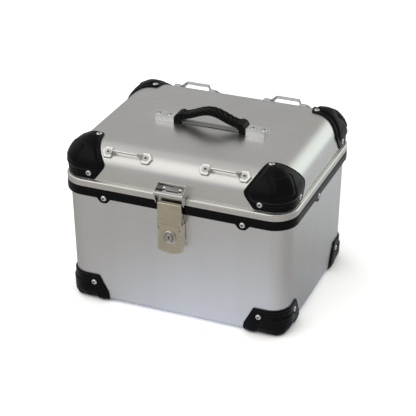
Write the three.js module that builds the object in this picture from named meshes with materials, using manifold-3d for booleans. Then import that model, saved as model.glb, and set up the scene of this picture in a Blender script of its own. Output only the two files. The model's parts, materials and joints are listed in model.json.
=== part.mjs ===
// Motorcycle aluminium top case, millimetres. +Z is up and -Y is the latch side.
// The finished group stands on z = 0 with its feet; x = 0 and y = 0 are the middle of the case.
// Inside this file the pieces are drawn with z = 0 at the tub's underside.

import * as THREE from 'three';
import { mergeVertices } from 'three/addons/utils/BufferGeometryUtils.js';
import Module from 'manifold-3d';

const wasm = await Module();
wasm.setup();
const { Manifold } = wasm;

// Driving dimensions ---------------------------------------------------------------------
const CASE_W = 420;                 // over the black band, left to right
const CASE_D = 341.4;               // over the black band, front to rear
const HALF_W = CASE_W / 2;
const HALF_D = CASE_D / 2;
const CORNER_R = 42.5;              // plan radius of the band's outer corner
const CORNER_STEPS = 6;             // facets in one rounded corner
const SHEET = 1.6;                  // aluminium sheet
const GAP = 0.3;                    // air between neighbouring pieces

const TUB_TOP = 221;                // the tub's open edge
const TUB_FILLET = 8;               // tub wall to tub floor
const TUB_INSET_TOP = 6.1;          // tub wall inside the band, at the top
const TUB_INSET_FLOOR = 11;         // and at the floor: the wall leans in

const BAND_BOTTOM = 206;
const BAND_TOP = 223;
const BAND_TAB_DROP = 8;            // the screw tabs hang below the band
const BAND_TAB_W = 23;
const BAND_TAB_X = 126;             // front tabs, each side of the middle
const BAND_TAB_REAR_X = 42;         // rear tabs, between the hinges
const BAND_TAB_Y = -24;             // side tabs
const TONGUE_TOP = 230;             // upstand that the lid's seal sits on

const RIM_BOTTOM = BAND_TOP + GAP;
const RIM_TOP = 236;                // rolled bead round the lid's mouth
const LID_INSET = 6.5;              // lid wall inside the band
const LID_TOP = 297.5;
const LID_EDGE_R = 44;              // the lid's big folded edge
const LID_CROWN = 1.5;              // the top panel rises to its middle

const LATCH_FRONT = HALF_D + 10.3;  // latch face, in front of the case's middle
const LATCH_HALF_W = 22.2;
const LEVER_Z = [131.5, 185.9];
const LINK_Z = [187.5, 227];
const PLATE = 1.6;                  // latch sheet steel
const LEVER_PIVOT = [-HALF_D - 4.3, 188];      // y, z
const LINK_PIVOT = [LEVER_PIVOT[0] - 2.5, LEVER_PIVOT[1] - 6.5];
const PIVOT_R = 1.8;
const LOCK_Z = 164;

const HINGE_Y = HALF_D + 8.9;       // hinge pin line behind the band
const HINGE_Z = 223;
const HINGE_X = 92;
const HINGE_W = 56;
const KNUCKLE_R = 5;

const HANDLE_CENTRE_X = 8.5;        // the handle sits a little to the right
const HANDLE_Y = -14;
const HANDLE_X = 66;                // grip ends, each side of its middle
const COLLAR_W = 11;                // the thick block at each end of the grip
const COLLAR_H = 20;
const GRIP_LOW = 14.5;              // grip's middle line above the lid, at the collars
const GRIP_HIGH = 28;               // and at its middle
const STRIP_LOW = 5;                // the steel strip above the lid, under the end brackets
const HANDLE_END_X = 107.5;

const TIE_X = 88;
const TIE_SCREW = 34.5;             // screw to the middle of its tie-down

// Materials ------------------------------------------------------------------------------
const finish = (color, metalness, roughness) => ({ color, metalness, roughness });
const ALUMINIUM = finish(0xb9bab8, 0.9, 0.38);
const CAST_ALLOY = finish(0xc6c8c9, 0.85, 0.32);
const BLACK_PLASTIC = finish(0x141414, 0.0, 0.45);
const BLACK_RUBBER = finish(0x101010, 0.0, 0.85);
const STAINLESS = finish(0xa9a18c, 0.95, 0.3);
const CHROME = finish(0xd8dadc, 1.0, 0.12);
const ZINC_STEEL = finish(0x8f9294, 0.9, 0.35);

const FOOT_DROP = 4.2;              // the base guards' flat feet, below the tub's underside
const part = new THREE.Group();
const topCase = new THREE.Group();
topCase.position.z = FOOT_DROP;
part.add(topCase);

function add(name, solid, look) {
  const mesh = new THREE.Mesh(toGeometry(solid), new THREE.MeshStandardMaterial(look));
  mesh.name = name;
  topCase.add(mesh);
  return mesh;
}

// Solid helpers --------------------------------------------------------------------------
function toManifold(geometry) {
  const plain = geometry.clone();
  for (const key of Object.keys(plain.attributes)) {
    if (key !== 'position') plain.deleteAttribute(key);
  }
  const merged = mergeVertices(plain, 1e-4);
  return new Manifold(new wasm.Mesh({
    numProp: 3,
    vertProperties: new Float32Array(merged.attributes.position.array),
    triVerts: new Uint32Array(merged.index.array),
  }));
}

function toGeometry(solid) {
  const mesh = solid.getMesh();
  const geometry = new THREE.BufferGeometry();
  geometry.setAttribute('position', new THREE.BufferAttribute(mesh.vertProperties, 3));
  geometry.setIndex(new THREE.BufferAttribute(mesh.triVerts, 1));
  geometry.computeVertexNormals();
  return geometry;
}

// A solid from a point list and a triangle list.
function fromMesh(points, triangles) {
  const geometry = new THREE.BufferGeometry();
  geometry.setAttribute('position', new THREE.Float32BufferAttribute(points.flat(), 3));
  geometry.setIndex(triangles.flat());
  return toManifold(geometry);
}

function box(x0, x1, y0, y1, z0, z1) {
  const geometry = new THREE.BoxGeometry(x1 - x0, y1 - y0, z1 - z0);
  geometry.translate((x0 + x1) / 2, (y0 + y1) / 2, (z0 + z1) / 2);
  return toManifold(geometry);
}

// A flat outline of [y, z] points pushed along x from x0 to x1.
function slabAlongX(outline, x0, x1) {
  const shape = new THREE.Shape(outline.map(([y, z]) => new THREE.Vector2(y, z)));
  const geometry = new THREE.ExtrudeGeometry(shape, { depth: x1 - x0, bevelEnabled: false });
  const toWorld = new THREE.Matrix4().makeBasis(
    new THREE.Vector3(0, 1, 0), new THREE.Vector3(0, 0, 1), new THREE.Vector3(1, 0, 0));
  geometry.applyMatrix4(toWorld);
  geometry.translate(x0, 0, 0);
  return toManifold(geometry);
}

// A round bar between two points.
function rod(from, to, radius, sides = 14) {
  const start = new THREE.Vector3(...from);
  const axis = new THREE.Vector3(...to).sub(start);
  const geometry = new THREE.CylinderGeometry(radius, radius, axis.length(), sides);
  const turn = new THREE.Quaternion().setFromUnitVectors(
    new THREE.Vector3(0, 1, 0), axis.clone().normalize());
  geometry.applyQuaternion(turn);
  geometry.translate(...start.addScaledVector(axis, 0.5).toArray());
  return toManifold(geometry);
}

const rodAlongX = (x0, x1, [y, z], radius, sides) => rod([x0, y, z], [x1, y, z], radius, sides);

// A turned profile of [radius, height] points whose axis runs from `at` along `axis`.
function turned(profile, at, axis, sides = 18) {
  const geometry = new THREE.LatheGeometry(
    profile.map(([r, h]) => new THREE.Vector2(r, h)), sides);
  const turn = new THREE.Quaternion().setFromUnitVectors(
    new THREE.Vector3(0, 1, 0), new THREE.Vector3(...axis).normalize());
  geometry.applyQuaternion(turn);
  geometry.translate(...at);
  return toManifold(geometry);
}

const union = (...solids) => solids.reduce((whole, piece) => whole.add(piece));
const cut = (solid, ...tools) => tools.reduce((whole, tool) => whole.subtract(tool), solid);
const hull = (...solids) => Manifold.hull(solids);

// The rounded rectangle that lies `inset` inside the band's outer outline, at height z.
function outlineLoop(inset, z) {
  const radius = Math.max(CORNER_R - inset, 0.8);
  const cx = HALF_W - inset - radius;
  const cy = HALF_D - inset - radius;
  const corners = [[cx, cy, 0], [-cx, cy, 1], [-cx, -cy, 2], [cx, -cy, 3]];
  const loop = [];
  for (const [x, y, quarter] of corners) {
    for (let step = 0; step <= CORNER_STEPS; step += 1) {
      const angle = (quarter + step / CORNER_STEPS) * Math.PI / 2;
      loop.push([x + radius * Math.cos(angle), y + radius * Math.sin(angle), z]);
    }
  }
  return loop;
}

function bridge(triangles, lower, upper, count) {
  for (let k = 0; k < count; k += 1) {
    const next = (k + 1) % count;
    triangles.push([lower + k, lower + next, upper + next], [lower + k, upper + next, upper + k]);
  }
}

// A ring round the case: `section` is a closed outline of [inset, z], counted so that the
// outer face runs upward.
function ringAround(section) {
  const loops = section.map(([inset, z]) => outlineLoop(inset, z));
  const count = loops[0].length;
  const triangles = [];
  loops.forEach((_, i) => bridge(triangles, i * count, ((i + 1) % loops.length) * count, count));
  return fromMesh(loops.flat(), triangles);
}

// A closed solid whose `profile` of [inset, z] starts on the middle line at zStart and ends
// on the middle line at zEnd, outside face first.
function vessel(profile, zStart, zEnd) {
  const loops = profile.map(([inset, z]) => outlineLoop(inset, z));
  const count = loops[0].length;
  const triangles = [];
  for (let i = 0; i + 1 < loops.length; i += 1) bridge(triangles, i * count, (i + 1) * count, count);
  const points = loops.flat();
  const startPole = points.length;
  points.push([0, 0, zStart], [0, 0, zEnd]);
  const lastLoop = (loops.length - 1) * count;
  for (let k = 0; k < count; k += 1) {
    const next = (k + 1) % count;
    triangles.push([startPole, next, k], [startPole + 1, lastLoop + k, lastLoop + next]);
  }
  return fromMesh(points, triangles);
}

function arc(cx, cy, radius, fromDeg, toDeg, steps) {
  return Array.from({ length: steps + 1 }, (_, k) => {
    const angle = THREE.MathUtils.degToRad(fromDeg + (toDeg - fromDeg) * k / steps);
    return [cx + radius * Math.cos(angle), cy + radius * Math.sin(angle)];
  });
}

// Tub and lid profiles, grown outward by t ------------------------------------------------
const tubInset = z => TUB_INSET_TOP + (TUB_INSET_FLOOR - TUB_INSET_TOP) * (TUB_TOP - z) / TUB_TOP;

// From the floor out and up to the open edge.
function tubOutside(t, top) {
  const radius = TUB_FILLET + t;
  const wall = tubInset(TUB_FILLET) - t;
  const corner = arc(wall + radius, radius - t, radius, 270, 180, 5);
  return [...corner, [tubInset(top) - t, top]];
}

// From the lid's mouth up and in to the top panel's edge.
function lidOutside(t, bottom) {
  const radius = LID_EDGE_R + t;
  const centreInset = LID_INSET + LID_EDGE_R;
  const centreZ = LID_TOP - LID_EDGE_R;
  return [[LID_INSET - t, bottom], ...arc(centreInset, centreZ, radius, 180, 90, 7)];
}

const tubEnvelope = vessel(tubOutside(GAP, TUB_TOP), -GAP, TUB_TOP);
const lidEnvelope = vessel(lidOutside(GAP, RIM_BOTTOM), RIM_BOTTOM, LID_TOP + LID_CROWN + GAP);

function sheetTub() {
  const outside = tubOutside(0, TUB_TOP);
  const inside = tubOutside(-SHEET, TUB_TOP).reverse();
  return vessel([...outside, ...inside], 0, SHEET);
}

function sheetLid() {
  const mouth = RIM_BOTTOM + SHEET;
  const outside = lidOutside(0, mouth).reverse();
  const inside = lidOutside(-SHEET, mouth);
  const flipped = [...inside.reverse(), ...outside.reverse()];
  return vessel(flipped, LID_TOP + LID_CROWN - SHEET, LID_TOP + LID_CROWN);
}

// Every screw: a low round head outside, and a shank that runs into the sheet through a hole.
const SCREW_HEAD = { radius: 5, height: 2.4 };
const SHANK_R = 1.6;
const HOLE_R = SHANK_R + GAP;
const tubHoles = [];
const lidHoles = [];

// `seat` is the point under the head, `out` the unit direction that the head faces.
function fasten(name, seat, out, length, holes) {
  const along = distance => seat.map((v, i) => v + out[i] * distance);
  const head = rod(along(0.2), along(SCREW_HEAD.height), SCREW_HEAD.radius, 12);
  const shank = rod(along(-length), along(1), SHANK_R, 8);
  add(name, union(head, shank), ZINC_STEEL);
  holes.push(rod(along(-length - 4), along(2), HOLE_R, 8));
}

// Black band round the tub's edge, with its screw tabs -------------------------------------
const bandOuter = 1.2;              // small chamfer on the band's outer edges
const bandInner = 13;
function bandRing() {
  const wall = TUB_INSET_TOP - GAP;
  const lip = BAND_TOP - 1.7;
  return ringAround([
    [wall, BAND_BOTTOM], [bandOuter, BAND_BOTTOM], [0, BAND_BOTTOM + bandOuter],
    [0, BAND_TOP - bandOuter], [bandOuter, BAND_TOP], [9, BAND_TOP], [9, TONGUE_TOP],
    [10.6, TONGUE_TOP], [10.6, BAND_TOP], [bandInner, BAND_TOP], [bandInner, lip], [wall, lip]]);
}

// One half-hexagon tab on the front face, hanging from the band.
function bandTab() {
  const half = BAND_TAB_W / 2;
  const bottom = BAND_BOTTOM - BAND_TAB_DROP;
  const outline = [[-half, BAND_BOTTOM + 3], [-half, BAND_BOTTOM - 1], [-half + 6, bottom],
    [half - 6, bottom], [half, BAND_BOTTOM - 1], [half, BAND_BOTTOM + 3]];
  return slabAlongX(outline, 0.6, TUB_INSET_TOP - GAP);
}

function placeTab(angleDeg, distance, along) {
  return bandTab().rotate([0, 0, angleDeg]).translate(
    angleDeg % 180 === 0 ? [distance, along, 0] : [along, distance, 0]);
}

const bandTabs = [
  placeTab(90, -HALF_D, -BAND_TAB_X), placeTab(90, -HALF_D, BAND_TAB_X),
  placeTab(-90, HALF_D, -BAND_TAB_REAR_X), placeTab(-90, HALF_D, BAND_TAB_REAR_X),
  placeTab(0, -HALF_W, BAND_TAB_Y), placeTab(180, HALF_W, BAND_TAB_Y)];
const tabScrewZ = BAND_BOTTOM + 1;
const BAND_SCREWS = [
  ['fl', [-BAND_TAB_X, -HALF_D], [0, -1]], ['fr', [BAND_TAB_X, -HALF_D], [0, -1]],
  ['rl', [-BAND_TAB_REAR_X, HALF_D], [0, 1]], ['rr', [BAND_TAB_REAR_X, HALF_D], [0, 1]],
  ['l', [-HALF_W, BAND_TAB_Y], [-1, 0]], ['r', [HALF_W, BAND_TAB_Y], [1, 0]]];
for (const [tag, [x, y], [nx, ny]] of BAND_SCREWS) {
  fasten(`band_screw_${tag}`, [x, y, tabScrewZ], [nx, ny, 0], 9.5, tubHoles);
}
add('base_band', cut(union(bandRing(), ...bandTabs), ...tubHoles), BLACK_PLASTIC);
add('base_shell', cut(sheetTub(), ...tubHoles), ALUMINIUM);

// Rolled bead round the lid's mouth, and the seal inside it --------------------------------
function rimRing() {
  const wall = LID_INSET - GAP;
  const bead = arc(3.6, RIM_TOP - 3.6, 3.6, 180, 60, 4);
  return ringAround([[wall + 1.9, RIM_BOTTOM], [0.6, RIM_BOTTOM], [0, RIM_BOTTOM + 0.6],
    ...bead, [wall, RIM_TOP - 1.5], [wall, RIM_BOTTOM + SHEET - GAP],
    [wall + 1.9, RIM_BOTTOM + SHEET - GAP]]);
}
add('lid_rim', rimRing(), ALUMINIUM);

const sealInset = [LID_INSET + SHEET + GAP, LID_INSET + SHEET + GAP + 4];
add('lid_seal', ringAround([
  [sealInset[0], TONGUE_TOP + GAP], [sealInset[0], TONGUE_TOP + 4.5],
  [sealInset[1], TONGUE_TOP + 4.5], [sealInset[1], TONGUE_TOP + GAP]]), BLACK_RUBBER);

// Corner guards ----------------------------------------------------------------------------
// Corner coordinates [a, b, z] count a and b inward from the band's two outer planes.

// Distance outside a wall-edge-panel profile for a point at `inset` and z.
function edgeDistance(wallInset, edgeZ, radius, upward, inset, z) {
  const a = wallInset - inset + radius;
  const b = (upward ? z - edgeZ : edgeZ - z) + radius;
  return Math.min(Math.max(a, b), 0) + Math.hypot(Math.max(a, 0), Math.max(b, 0)) - radius;
}

function planInset([a, b]) {
  const dx = CORNER_R - a;
  const dy = CORNER_R - b;
  const outside = Math.hypot(Math.max(dx, 0), Math.max(dy, 0)) + Math.min(Math.max(dx, dy), 0);
  return CORNER_R - outside;
}

const tubSurface = p => edgeDistance(tubInset(p[2]), 0, TUB_FILLET, false, planInset(p), p[2]);
const lidSurface = p => edgeDistance(LID_INSET, LID_TOP, LID_EDGE_R, true, planInset(p), p[2]);

function surfacePoint(surface, from, direction) {
  let near = 0;
  let far = 200;
  for (let k = 0; k < 40; k += 1) {
    const mid = (near + far) / 2;
    const p = from.map((v, i) => v + direction[i] * mid);
    if (surface(p) < 0) near = mid;
    else far = mid;
  }
  return from.map((v, i) => v + direction[i] * near);
}

function surfaceNormal(surface, p) {
  const e = 0.05;
  const grad = [0, 1, 2].map(i => {
    const ahead = [...p];
    const behind = [...p];
    ahead[i] += e;
    behind[i] -= e;
    return surface(ahead) - surface(behind);
  });
  const size = Math.hypot(...grad);
  return grad.map(v => v / size);
}

// `half` lists outline points on one side of the corner's diagonal, from its one end to the
// other; the far side is their mirror image. `thickness(edge)` takes 0 in the middle, 1 at
// the outline.
function cornerPatch({ surface, heart, centre, half, thickness, rings }) {
  const mirrored = half.slice(1, -1).reverse().map(([a, b, z]) => [b, a, z]);
  const outline = [...half, ...mirrored];
  const aim = to => new THREE.Vector3(...to.map((v, i) => v - heart[i])).normalize();
  const middle = aim(centre);
  const skin = [];
  const inner = [];
  const place = (direction, edge) => {
    const foot = surfacePoint(surface, heart, direction.toArray());
    const normal = surfaceNormal(surface, foot);
    skin.push(foot.map((v, i) => v + normal[i] * thickness(edge)));
    inner.push(foot.map((v, i) => v - normal[i] * SHEET * 0.8));
  };
  place(middle, 0);
  for (let ring = 1; ring <= rings; ring += 1) {
    for (const spot of outline) {
      place(middle.clone().lerp(aim(spot), ring / rings).normalize(), ring / rings);
    }
  }
  const count = outline.length;
  const offset = skin.length;
  const triangles = [];
  for (let k = 0; k < count; k += 1) {
    const next = (k + 1) % count;
    triangles.push([0, 1 + k, 1 + next], [offset, offset + 1 + next, offset + 1 + k]);
    for (let ring = 1; ring < rings; ring += 1) {
      const low = 1 + (ring - 1) * count;
      const high = low + count;
      triangles.push([low + k, high + k, high + next], [low + k, high + next, low + next]);
      triangles.push([offset + low + k, offset + high + next, offset + high + k]);
      triangles.push([offset + low + k, offset + low + next, offset + high + next]);
    }
    const rim = 1 + (rings - 1) * count;
    triangles.push([rim + k, offset + rim + k, offset + rim + next]);
    triangles.push([rim + k, offset + rim + next, rim + next]);
  }
  return { points: [...skin, ...inner], triangles };
}

// Corner coordinates to the case's own, for the corner at the sign of x and y.
function placeAtCorner({ points, triangles }, signX, signY, envelope) {
  const placed = points.map(([a, b, z]) => [signX * (HALF_W - a), signY * (HALF_D - b), z]);
  const flip = signX * signY < 0;
  const facing = flip ? triangles : triangles.map(([i, j, k]) => [i, k, j]);
  let solid = fromMesh(placed, facing);
  if (solid.volume() < 0) solid = fromMesh(placed, facing.map(([i, j, k]) => [i, k, j]));
  return cut(solid, envelope);
}

const lidGuardPatch = cornerPatch({
  surface: lidSurface,
  heart: [62, 62, 243],
  centre: [14, 14, 268],
  half: [[60.5, 60.5, 298], [62.5, 56, 298], [62.5, 46, 298], [63, 36, 297], [66, 25, 292],
    [72, 16, 284], [79, 11, 275], [85, 8.6, 266.5], [83, 7, 260], [75, 6.5, 249],
    [66.5, 6.5, 237.6], [50, 6.5, 237.6], [34, 7.6, 237.6], [24, 11.5, 237.6],
    [17.1, 17.1, 237.6]],
  thickness: edge => 2.6 + 3.6 * Math.min(1, 2.4 * (1 - edge)) * (1 - 0.25 * edge),
  rings: 4,
});

const baseGuardPatch = cornerPatch({
  surface: tubSurface,
  heart: [62, 62, 46],
  centre: [20, 20, 14],
  half: [[21, 21, 48], [27, 14, 48], [40, 10, 48], [54, 9.9, 48], [66, 9.9, 48],
    [74, 10.2, 32], [83, 10.6, 15], [84, 11, 7], [82, 15, 1], [79, 22, 0], [72, 36, 0],
    [64, 50, 0], [57, 57, 0]],
  thickness: edge => 2.6 + 2 * Math.min(1, 2.4 * (1 - edge)),
  rings: 4,
});

// The base guards' undersides are flat feet.
const floorCut = box(-HALF_W - 9, HALF_W + 9, -HALF_D - 9, HALF_D + 9, -20, -FOOT_DROP);

const CORNERS = [['fl', -1, -1], ['fr', 1, -1], ['rl', -1, 1], ['rr', 1, 1]];
for (const [tag, signX, signY] of CORNERS) {
  const guard = placeAtCorner(baseGuardPatch, signX, signY, tubEnvelope);
  add(`base_guard_${tag}`, cut(guard, floorCut), BLACK_PLASTIC);
}
for (const [tag, signX, signY] of CORNERS) {
  add(`lid_guard_${tag}`, placeAtCorner(lidGuardPatch, signX, signY, lidEnvelope), BLACK_PLASTIC);
}

// Rear hinges ------------------------------------------------------------------------------
const LEAF = 2.2;                   // hinge leaf thickness
const PIN_R = 2;
const KNUCKLE_PARTS = 3;

// Leaf outlines in [y, z]: flat on the wall, then jogged out to the knuckle.
function baseLeafOutline() {
  const low = 168;
  const high = BAND_BOTTOM - 1;
  const wallAt = z => HALF_D - tubInset(z) + GAP;
  const out = HALF_D + GAP;
  return [[wallAt(low), low], [wallAt(low) + LEAF, low], [wallAt(high) + LEAF, high - LEAF],
    [out + LEAF, high], [out + LEAF, HINGE_Z - KNUCKLE_R], [HINGE_Y + 1, HINGE_Z - KNUCKLE_R + 0.6],
    [HINGE_Y, HINGE_Z], [out, HINGE_Z - 1.2], [out, high + 0.2], [wallAt(high), high]];
}

function lidLeafOutline() {
  const wall = HALF_D - LID_INSET + GAP;
  const out = HALF_D + GAP;
  const high = LID_TOP - LID_EDGE_R + 4;
  return [[out, HINGE_Z + 1.2], [HINGE_Y, HINGE_Z], [HINGE_Y + 1, HINGE_Z + KNUCKLE_R - 0.6],
    [out + LEAF, HINGE_Z + KNUCKLE_R], [out + LEAF, RIM_TOP + 1.6], [wall + LEAF, RIM_TOP + 5],
    [wall + LEAF, high], [wall, high], [wall, RIM_TOP + 0.6], [out, RIM_TOP + 0.4]];
}

for (const [tag, side] of [['l', -1], ['r', 1]]) {
  const x0 = side * HINGE_X - HINGE_W / 2;
  const third = HINGE_W / KNUCKLE_PARTS;
  const knuckle = index => rodAlongX(
    x0 + index * third + GAP / 2, x0 + (index + 1) * third - GAP / 2, [HINGE_Y, HINGE_Z], KNUCKLE_R, 16);
  const bore = rodAlongX(x0 - 5, x0 + HINGE_W + 5, [HINGE_Y, HINGE_Z], PIN_R + GAP, 12);
  const room = (from, to) => rodAlongX(from, to, [HINGE_Y, HINGE_Z], KNUCKLE_R + 0.6, 16);
  const baseLeaf = slabAlongX(baseLeafOutline(), x0, x0 + HINGE_W);
  const lidLeaf = slabAlongX(lidLeafOutline(), x0, x0 + HINGE_W);
  const base = union(cut(baseLeaf, room(x0 + third - GAP / 2, x0 + 2 * third + GAP / 2)),
    knuckle(0), knuckle(2));
  const lid = union(cut(lidLeaf, room(x0 - 1, x0 + third + GAP / 2),
    room(x0 + 2 * third - GAP / 2, x0 + HINGE_W + 1)), knuckle(1));
  add(`hinge_leaf_base_${tag}`, cut(base, bore), ZINC_STEEL);
  add(`hinge_leaf_lid_${tag}`, cut(lid, bore), ZINC_STEEL);
  const head = rodAlongX(x0 - 2.2, x0 - 0.4, [HINGE_Y, HINGE_Z], PIN_R + 1.4, 12);
  const tail = rodAlongX(x0 + HINGE_W + 0.4, x0 + HINGE_W + 2.2, [HINGE_Y, HINGE_Z], PIN_R + 1.4, 12);
  const shank = rodAlongX(x0 - 2, x0 + HINGE_W + 2, [HINGE_Y, HINGE_Z], PIN_R, 12);
  add(`hinge_pin_${tag}`, union(shank, head, tail), ZINC_STEEL);
}

// Latch ------------------------------------------------------------------------------------
const faceOut = -LATCH_FRONT;       // y of the latch's front face
const faceIn = faceOut + PLATE;
const earX = [LATCH_HALF_W - 3.4, LATCH_HALF_W - 2];
const flangeX = [LATCH_HALF_W - PLATE, LATCH_HALF_W];
const armX = [LATCH_HALF_W - 5.2, LATCH_HALF_W - 3.8];
const bothSides = (make, [x0, x1]) => union(make(x0, x1), make(-x1, -x0));

// Channel riveted to the tub: back plate, two ears and the lips that the lock's cam goes behind.
const CHANNEL_Z = [150, 203];
function latchBase() {
  const wallAt = z => -(HALF_D - tubInset(z) + GAP);
  const [low, high] = CHANNEL_Z;
  const back = slabAlongX([[wallAt(low), low], [wallAt(low) - PLATE, low],
    [wallAt(high) - PLATE, high], [wallAt(high), high]].reverse(), -earX[1], earX[1]);
  const front = LEVER_PIVOT[0] + 1.6;
  const ear = (x0, x1) => union(
    slabAlongX([[wallAt(155) - 0.5, 155], [front, 155], [front, 180], [LEVER_PIVOT[0], 186],
      [LEVER_PIVOT[0] + 2, 191], [wallAt(198) - 0.5, 198]].reverse(), x0, x1),
    rodAlongX(x0, x1, LEVER_PIVOT, 3.2));
  const lip = (x0, x1) => box(x0, x1, front, front + 1.2, LOCK_Z - 4, LOCK_Z + 4);
  const body = union(back, bothSides(ear, earX), bothSides(lip, [10, earX[1]]));
  return cut(body, rodAlongX(-30, 30, LEVER_PIVOT, PIVOT_R + GAP));
}
add('latch_base', latchBase(), ZINC_STEEL);

// Short pivots: each joins a lever flange to its ear.
for (const [tag, side] of [['l', -1], ['r', 1]]) {
  const inner = side * (earX[0] - 0.3);
  const outer = side * (LATCH_HALF_W + 0.4);
  const stem = rodAlongX(Math.min(inner, outer), Math.max(inner, outer), LEVER_PIVOT, PIVOT_R);
  const capEnd = side * (LATCH_HALF_W + 1.6);
  const cap = rodAlongX(Math.min(outer, capEnd), Math.max(outer, capEnd), LEVER_PIVOT, 2.8);
  add(`latch_pivot_${tag}`, union(stem, cap), CHROME);
}

const lockBoreR = 9.8;
const notchX = armX[0] - 0.6;
function latchLever() {
  const [low, high] = LEVER_Z;
  const end = (half, rise) => box(-half, half, faceOut, faceIn, low + rise, high);
  const plate = hull(end(LATCH_HALF_W, 4.6), end(17.5, 2.4), end(11, 0.8), end(5, 0));
  const rear = LEVER_PIVOT[0] + 10;
  const flange = (x0, x1) => union(
    slabAlongX([[faceIn - 0.4, low + 5.2], [faceIn - 0.4, 184], [rear - 4, 190], [rear, 186],
      [rear, low + 17], [faceIn + 2, low + 5.2]], x0, x1),
    rodAlongX(x0, x1, LEVER_PIVOT, 4));
  const notch = (x0, x1) => box(x0, x1, faceOut - 1, faceIn + 0.05, high - 11.5, high + 1);
  const lip = box(-11, 11, faceIn - 0.1, faceIn + 5, low + 0.8, low + 0.8 + PLATE);
  return cut(union(cut(plate, bothSides(notch, [notchX, LATCH_HALF_W + 1])),
    bothSides(flange, flangeX), lip),
    rodAlongX(-30, 30, LEVER_PIVOT, PIVOT_R + GAP),
    rodAlongX(-30, 30, LINK_PIVOT, PIVOT_R + GAP),
    rod([0, faceOut - 5, LOCK_Z], [0, faceIn + 5, LOCK_Z], lockBoreR, 20));
}
add('latch_lever', latchLever(), STAINLESS);

function latchLink() {
  const [low, high] = LINK_Z;
  const plate = box(-LATCH_HALF_W, LATCH_HALF_W, faceOut, faceIn, low, high);
  const lip = box(-LATCH_HALF_W, LATCH_HALF_W, faceIn - 0.1, faceIn + 4, high - PLATE, high);
  const side = (x0, x1) => box(x0, x1, faceIn - 0.1, faceIn + 5, low + 13, high);
  const arm = (x0, x1) => hull(
    rodAlongX(x0, x1, LINK_PIVOT, 3.1), box(x0, x1, faceIn - 0.2, faceIn + 3, 196, 208));
  return cut(union(plate, lip, bothSides(side, flangeX), bothSides(arm, armX)),
    rodAlongX(-30, 30, LINK_PIVOT, PIVOT_R + GAP));
}
add('latch_link', latchLink(), STAINLESS);
add('link_pin', rodAlongX(-LATCH_HALF_W - 0.5, LATCH_HALF_W + 0.5, LINK_PIVOT, PIVOT_R), CHROME);

// Catch on the lid: a screwed plate, a floor that rises to the rolled nose, and a cheek each side.
const CATCH_HALF_W = 26;
const CATCH_TOP = 256.5;
const CATCH_FLOOR = RIM_TOP + 1.3;
const CATCH_ROLL = [faceOut - 2.5, 244.8];     // y, z
function latchCatch() {
  const wall = -(HALF_D - LID_INSET + GAP);
  const [rollY, rollZ] = CATCH_ROLL;
  const plate = slabAlongX([[wall, CATCH_TOP], [wall - PLATE, CATCH_TOP],
    [wall - PLATE, CATCH_FLOOR + PLATE], [rollY + 7, CATCH_FLOOR + PLATE], [rollY + 2, rollZ - 1],
    [rollY - 1, rollZ - 2], [rollY + 6.4, CATCH_FLOOR], [wall, CATCH_FLOOR]],
    -CATCH_HALF_W, CATCH_HALF_W);
  const nose = rodAlongX(-CATCH_HALF_W, CATCH_HALF_W, CATCH_ROLL, 3.1);
  const gusset = (x0, x1) => slabAlongX([[wall, CATCH_TOP], [wall - 2.2, CATCH_TOP],
    [rollY - 2.4, rollZ + 2.8], [rollY - 3, rollZ], [rollY - 1.5, rollZ - 4],
    [rollY + 5, CATCH_FLOOR], [wall, CATCH_FLOOR]], x0, x1);
  const near = -(HALF_D + 0.8);
  const ear = (x0, x1) => slabAlongX([[near, CATCH_FLOOR + 0.4], [rollY, rollZ - 3],
    [rollY - 0.5, rollZ - 6], [near - 6, 223], [near - 3, 221], [near, 223]], x0, x1);
  const cheek = (x0, x1) => union(gusset(x0, x1), ear(x0, x1));
  return union(plate, nose, bothSides(cheek, [CATCH_HALF_W - 1.6, CATCH_HALF_W]));
}
const CATCH_SCREW = [14.6, 244.9];
const catchSeatY = -(HALF_D - LID_INSET + GAP + PLATE);
for (const [tag, side] of [['l', -1], ['r', 1]]) {
  const seat = [side * CATCH_SCREW[0], catchSeatY, CATCH_SCREW[1]];
  fasten(`catch_screw_${tag}`, seat, [0, -1, 0], 5, lidHoles);
}
add('latch_catch', cut(latchCatch(), ...lidHoles), CHROME);

// Lock: barrel and nut fixed in the lever, plug and cam turn in it.
const lockAt = y => [0, y, LOCK_Z];
const plugR = 7;
function lockBarrel() {
  const bore = plugR + GAP;
  return turned([[bore, 0], [bore, 12.2], [9.4, 12.2], [9.4, 3.1], [12.5, 3.1],
    [12.5, 1.2], [11.6, 0], [bore, 0]].reverse(), lockAt(faceOut - 3.3), [0, 1, 0], 20);
}
add('lock_barrel', lockBarrel(), CHROME);
const nutFace = faceIn + GAP;
const nutOuter = rod(lockAt(nutFace), lockAt(nutFace + 3.2), 12.8, 6);
add('lock_nut', cut(nutOuter, rod(lockAt(nutFace - 2), lockAt(nutFace + 5), 9.8, 20)), ZINC_STEEL);
const camY = faceOut + 9.4;
const plug = union(rod(lockAt(faceOut - 3.6), lockAt(camY - 0.4), plugR, 18),
  rod(lockAt(camY - 1), lockAt(camY + 2.2), 3, 14));
const keySlot = box(-0.8, 0.8, faceOut - 4, faceOut - 0.5, LOCK_Z - 3.6, LOCK_Z + 3.6);
add('lock_plug', cut(plug, keySlot), STAINLESS);
const camPlate = union(rod(lockAt(camY), lockAt(camY + 1.5), 5.4, 16),
  box(-3.6, 3.6, camY, camY + 1.5, LOCK_Z - 13.2, LOCK_Z));
add('lock_cam', cut(camPlate, rod(lockAt(camY - 1), lockAt(camY + 3), 3.3, 14)), ZINC_STEEL);
add('cam_screw', rod(lockAt(camY + 2.5), lockAt(camY + 4.3), 4.4, 12), ZINC_STEEL);

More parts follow.
